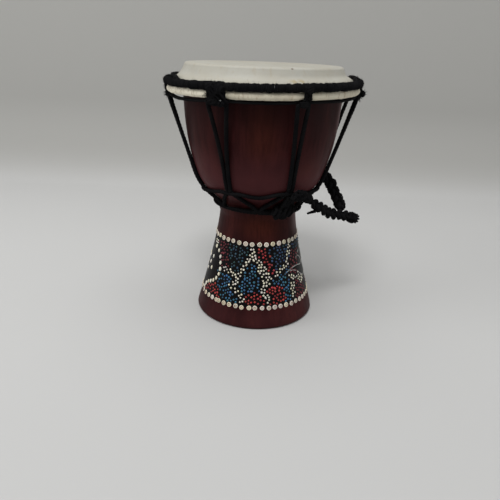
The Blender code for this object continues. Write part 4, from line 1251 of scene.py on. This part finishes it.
def makeHitches():
    strands = []
    for index, hitch in enumerate(hitches):
        rng = random.Random(40 + index)
        name, middle = hitch["name"], hitch["azimuth"]
        atSide = name in ("left", "right")
        width = hitchLook["widths"].get(name, hitch["width"])
        tangled = width > hitchLook["tangledWidth"]
        # Drawn tight at both ends of the picture, the strands sink into the winding.
        over = hitchLook["over"] - (hitchLook["sunk"] if atSide else 0.0)
        path = arc(rings["crown"], over, 168.0, 8.0, 8) + arc(rings["hoop"], hitchLook["down"], -8.0, -58.0, 3)
        count = max(3, round(width / hitchLook["tangledSpacing" if tangled else "spacing"]))
        for k in range(count):
            share = (k + 0.5) / count - 0.5
            azimuth = (middle + hitchLook["shifts"].get(name, 0.0)
                       + math.degrees(share * (width - 1.4 * mm) * 1.15 / rings["hoop"][0]))
            line = [lean(place(radius + rng.uniform(-0.3, 0.3) * mm, azimuth + rng.uniform(-0.6, 0.6),
                               height + rng.uniform(-0.3, 0.3) * mm)) for radius, height in path]
            gather = middle + (azimuth - middle) * 0.8
            line += [offRing("knot", gather, 0.9, 2.0), offRing("knot", gather, 0.0, -0.4)]
            radius = hitchLook["strand"] * rng.uniform(0.9, 1.1) * (1.15 if tangled else 1.0)
            strands.append(cut(smoothLine(line), radius, 0.05, 0.5))
        # The wraps that bind the strands below the hoop, round a short core.
        halfWidth = hitch["width"] * 0.56
        side, out = place(1.0, middle + 90.0, 0.0), place(1.0, middle, 0.0)
        for row in range(hitchLook["wraps"]):
            centre = offRing("knot", middle, 0.5, 0.4 + 1.35 * row)
            turns = [math.tau * i / 28 for i in range(28)]
            ring = [centre + side * halfWidth * math.cos(turn) + out * 1.5 * mm * math.sin(turn)
                    + Vector((0.0, 0.0, 0.5 * mm * math.sin(turn + row))) for turn in turns]
            strands.append(([wobble(point, 0.3 * mm, 300.0, row + index) for point in ring], hitchLook["wrap"], True))
        core = offRing("knot", middle, 0.3, 1.6)
        line = smoothLine([core - side * halfWidth * 0.8, core, core + side * halfWidth * 0.8], 1.0 * mm)
        strands.append((line, hitchLook["core"], False))
        out = place(1.0, middle, 0.15)
        for k, (off, outward, rise, size) in enumerate(hitchLook["knots"].get(name, [])):
            centre = offRing("hoop", middle + off, outward, rise)
            strands += knotStrands(centre, side, out, [half * mm for half in size], 0.6 - 0.9 * (k % 2), 0.8 * mm,
                                   60.0 + 7 * index + k)
        if tangled:
            strands += tangle(middle, side, out, rng)
        for k in range(0 if tangled else hitchLook["footTufts"]):
            root = offRing("knot", middle + rng.uniform(-1.8, 1.8), 1.9, 0.5)
            way = (out * 0.4 + side * rng.uniform(-1, 1) + Vector((0, 0, -0.6))).normalized()
            strands += tuft("foot", root, way, 300 + 10 * index + k)
        for k in range(hitchLook["sideTufts"] if atSide else 0):
            # The two that show against the backdrop are shaggy all the way down.
            root = offRing("hoop", middle + rng.uniform(-1.2, 1.8), 3.6, 6.0 - 1.9 * k)
            way = (out + Vector((0, 0, rng.uniform(-0.5, 0.4)))).normalized()
            strands += tuft("shaggy", root, way, 420 + 10 * index + k)
        if name == "right":
            strands += tuft("corner", offRing("crown", middle - 6.0, -1.0, 3.6), Vector((-0.8, 0.0, 0.6)), 411)
            way = (out + Vector((0, 0, 0.3))).normalized()
            for rise in (-0.8, -2.6):
                strands += tuft("thick", offRing("hoop", middle + 1.0, 6.0, rise), way, 430)
    addCord("hitchCords", strands, ["hitch_" + h["name"] for h in hitches], sides=9, groove=0.09, twist=150.0,
            fibres=260000.0, fibreLength=1.4 * mm, seed=9)


makeHitches()


def makeLaces():
    strands, nodes = [], []
    for i, hitch in enumerate(hitches):
        before = hitches[i - 1]["pinch"] - (360.0 if i == 0 else 0.0)
        following = hitches[(i + 1) % len(hitches)]
        after = following["pinch"] + (360.0 if following is hitches[0] else 0.0)
        for neighbour, side, letter in ((before, -1, "_a"), (after, 1, "_b")):
            points = lacePoints(hitch, neighbour, side)
            # The top runs up into the hitch's wraps.
            line = smoothLine([points[0] + Vector((0.0, 0.0, 2.6 * mm))] + points)
            lumps = [drift(k * 0.12, i * 3.0, side) for k in range(len(line))]
            strands.append((line, [lacing["laceLook"] / 2.0 * (1.0 + 0.08 * lump) for lump in lumps], False))
            nodes.append("lace_" + hitch["name"] + letter)
    addCord("laces", strands, nodes, sides=12, twist=125.0, fibres=90000.0, fibreLength=0.8 * mm, seed=2)


makeLaces()


def makeHoopCords():
    strands = []
    radius = rings["hoop"][0]
    height = rings["hoop"][1] - rings["roll"] - rings["gap"] - lacing["hoopCord"] / 2.0
    for i, hitch in enumerate(hitches):
        following = hitches[(i + 1) % len(hitches)]
        start, end = hitch["azimuth"], following["azimuth"] + (360.0 if i == len(hitches) - 1 else 0.0)
        steps = max(4, round((end - start) / 4.0))
        for lift, out in ((0.0, 0.0), (0.35 * mm, -1.3 * mm)):
            line = []
            for k in range(steps + 1):
                azimuth = start + (end - start) * k / steps
                sag = lacing["leftSag" if hitch["name"] == "left" else "sag"] * math.sin(math.pi * k / steps)
                point = lean(place(radius + out, azimuth, height + lift - sag))
                line.append(wobble(point, 0.25 * mm, 120.0, i))
            strands.append((smoothLine(line), lacing["hoopCord"] * 0.62, False))
    addCord("hoopCords", strands, ["hoop_cord_" + h["name"] for h in hitches], sides=8, groove=0.10, twist=220.0,
            fibreLength=0.8 * mm, seed=6)


makeHoopCords()


def makeWaistCords():
    gap = math.degrees((loop["collar"] - 1.5 * mm) / outerRadius(lacing["pullHeight"]))
    strands = []
    for start, end in ((loop["rearCollar"] + gap, lacing["pullEnd"] + 360.0),
                       (loop["frontCollar"] + gap, loop["rearCollar"] - gap)):
        steps = round((end - start) / 2.5)
        line = smoothLine([pullPoint(start + (end - start) * i / steps) for i in range(steps + 1)])
        strands.append(cut(line, lacing["pullLook"] / 2.0, 0.01, 0.6))
    lift = lacing["waistRing"] / 2.0 + rings["gap"]
    line = [onShell(5.0 * i, ringAt(5.0 * i), lift) for i in range(72)]
    strands.append((smoothLine(line, closed=True), lacing["waistRing"] / 2.0, True))
    # A second, thinner turn lies on the ring along the front.
    line = []
    for i in range(28):
        azimuth = -46.0 + 2.6 * i
        rise = 1.9 * mm * ease(i / 8.0) + 0.35 * mm * math.sin(i * 0.4)
        line.append(onShell(azimuth, ringAt(azimuth) + rise, lift + 0.35 * mm))
    line = smoothLine(line)
    strands.append((line, [(0.6 + 1.1 * ease(1.5 * i / len(line))) * mm for i in range(len(line))], False))
    # Ends of the laces gather in the waist knot.
    for k, azimuth in enumerate(lacing["gathered"]):
        line = [onShell(azimuth + 2.0, lacing["pullHeight"] + (4.0 - k) * mm, 3.0 * mm),
                onShell(azimuth + 0.8, 105.0 * mm, 3.4 * mm), onShell(azimuth, 98.0 * mm, 3.8 * mm)]
        strands.append((smoothLine(line), lacing["gatheredRadius"], False))
    addCord("waistCords", strands, ["pull_cord_long", "pull_cord_short", "waist_ring"], sides=12, twist=125.0,
            fibres=110000.0, fibreLength=0.9 * mm, seed=4)


makeWaistCords()


# Knots at the waist.
knots = {"waist": (28.2, 96.4 * mm, (10.4 * mm, 4.0 * mm, 6.4 * mm)),
         "pull": (33.2, 115.0 * mm, (7.6 * mm, 3.6 * mm, 5.0 * mm))}  # azimuth, height and half sizes


def addKnot(name, centre, side, out, size, tilt, seed):
    strands = knotStrands(centre, side, out, size, tilt, 1.3 * mm, seed)
    up = side.cross(out)
    for k, (across, rise) in enumerate(((0.8, -0.5), (-0.7, 0.4), (0.3, 0.8))):
        root = centre + side * size[0] * across + up * size[2] * rise
        way = (side * across + up * rise + out * 0.5).normalized()
        strands += tuft("knot", root, way, 500 + k)
    addCord(name + "Knot", strands, [name + "_knot"], groove=0.09, fibres=160000.0, seed=int(seed))


def makeKnots():
    azimuth, height, size = knots["waist"]
    centre = place(outerRadius(ringAt(azimuth)) + lacing["waistRing"] + size[1], azimuth, height)
    addKnot("waist", centre, place(1.0, azimuth + 90.0, 0.0), place(1.0, azimuth, 0.0), size, -0.5, 8.0)
    azimuth, height, size = knots["pull"]
    centre = onShell(azimuth, height, lacing["lace"] + 2.0 * rings["gap"] + size[1])
    out = centre - onShell(azimuth, height, 0.0)
    addKnot("pull", centre, place(1.0, azimuth + 90.0, 0.0), out, size, 0.7, 12.0)


makeKnots()


# White fluff caught on the winding and on the tangled hitch: azimuth, radius and height in mm, and seed.
lint = [(-4.9, 74.4, 191.7, 701), (-21.0, 75.6, 179.6, 702)]


def makeLint():
    strands = []
    for azimuth, radius, height, seed in lint:
        root = lean(place(radius * mm, azimuth, height * mm))
        strands += tuft("fluff", root, place(1.0, azimuth, 0.5).normalized(), seed)
    addCord("lint", strands, slot="crown_winding", sides=5, **plain, finish="whiteLint")


makeLint()


# Floor, backdrop and light.
studio = {"floor": (0.575, 0.575, 0.568), "wallTone": (0.375, 0.372, 0.355), "front": -1.6, "halfWidth": 1.8,
          "wall": 0.36, "bend": 0.12, "top": 1.6, "world": 0.34, "aim": (0.0, 0.0, 0.1),
          "lights": {"key": (7.5, 0.35, (-0.14, -0.66, 1.15)), "fill": (1.8, 0.8, (1.0, -0.15, 0.24)),
                     "side": (3.1, 0.6, (-0.95, -0.3, 0.5)), "top": (4.5, 1.0, (0.0, 0.0, 1.3))}}


def backdropPaper(here):
    cloud = here.noise(3.0, 2.0, 0.5)
    colour = cloud.step(0.3, 0.7).mix(tuple(c * 0.975 for c in studio["floor"]), studio["floor"])
    depth = here.part(1)
    # Painted shade: the floor is a little darker towards the front.
    colour = depth.step(-0.30, 0.10).mix(tuple(c * 0.90 for c in studio["floor"]), colour)
    colour = depth.step(0.36, 0.46).mix(colour, studio["wallTone"])
    return {"Base Color": colour, "Roughness": 0.85 + 0.05 * cloud, "Specular IOR Level": 0.2}


def makeStudio():
    wall, bend = studio["wall"], studio["bend"]
    side = [(studio["front"], 0.0), (wall, 0.0)]
    side += [(wall + bend * math.sin(t), bend * (1 - math.cos(t))) for t in np.linspace(0.0, math.pi / 2, 13)[1:]]
    side.append((wall + bend, studio["top"]))
    points = [(x, y, z) for y, z in side for x in (-studio["halfWidth"], studio["halfWidth"])]
    faces = [(2 * i, 2 * i + 1, 2 * i + 3, 2 * i + 2) for i in range(len(side) - 1)]
    newObject("backdrop", newMesh("backdrop", points, [], faces, [makeMaterial(backdropPaper)]))
    for name, (power, size, spot) in studio["lights"].items():
        light = bpy.data.lights.new(name, "AREA")
        light.energy, light.size = power, size
        lamp = newObject(name, light)
        lamp.location = spot
        lamp.rotation_euler = (Vector(studio["aim"]) - Vector(spot)).to_track_quat("-Z", "Y").to_euler()
    world = bpy.data.worlds.new("world")
    bpy.context.scene.world = world
    world.use_nodes = True
    ground = world.node_tree.nodes["Background"].inputs
    ground["Color"].default_value, ground["Strength"].default_value = (1.0, 1.0, 1.0, 1.0), studio["world"]
    bpy.context.scene.view_settings.view_transform = "Standard"
    print("floor, backdrop and lights made")


makeStudio()
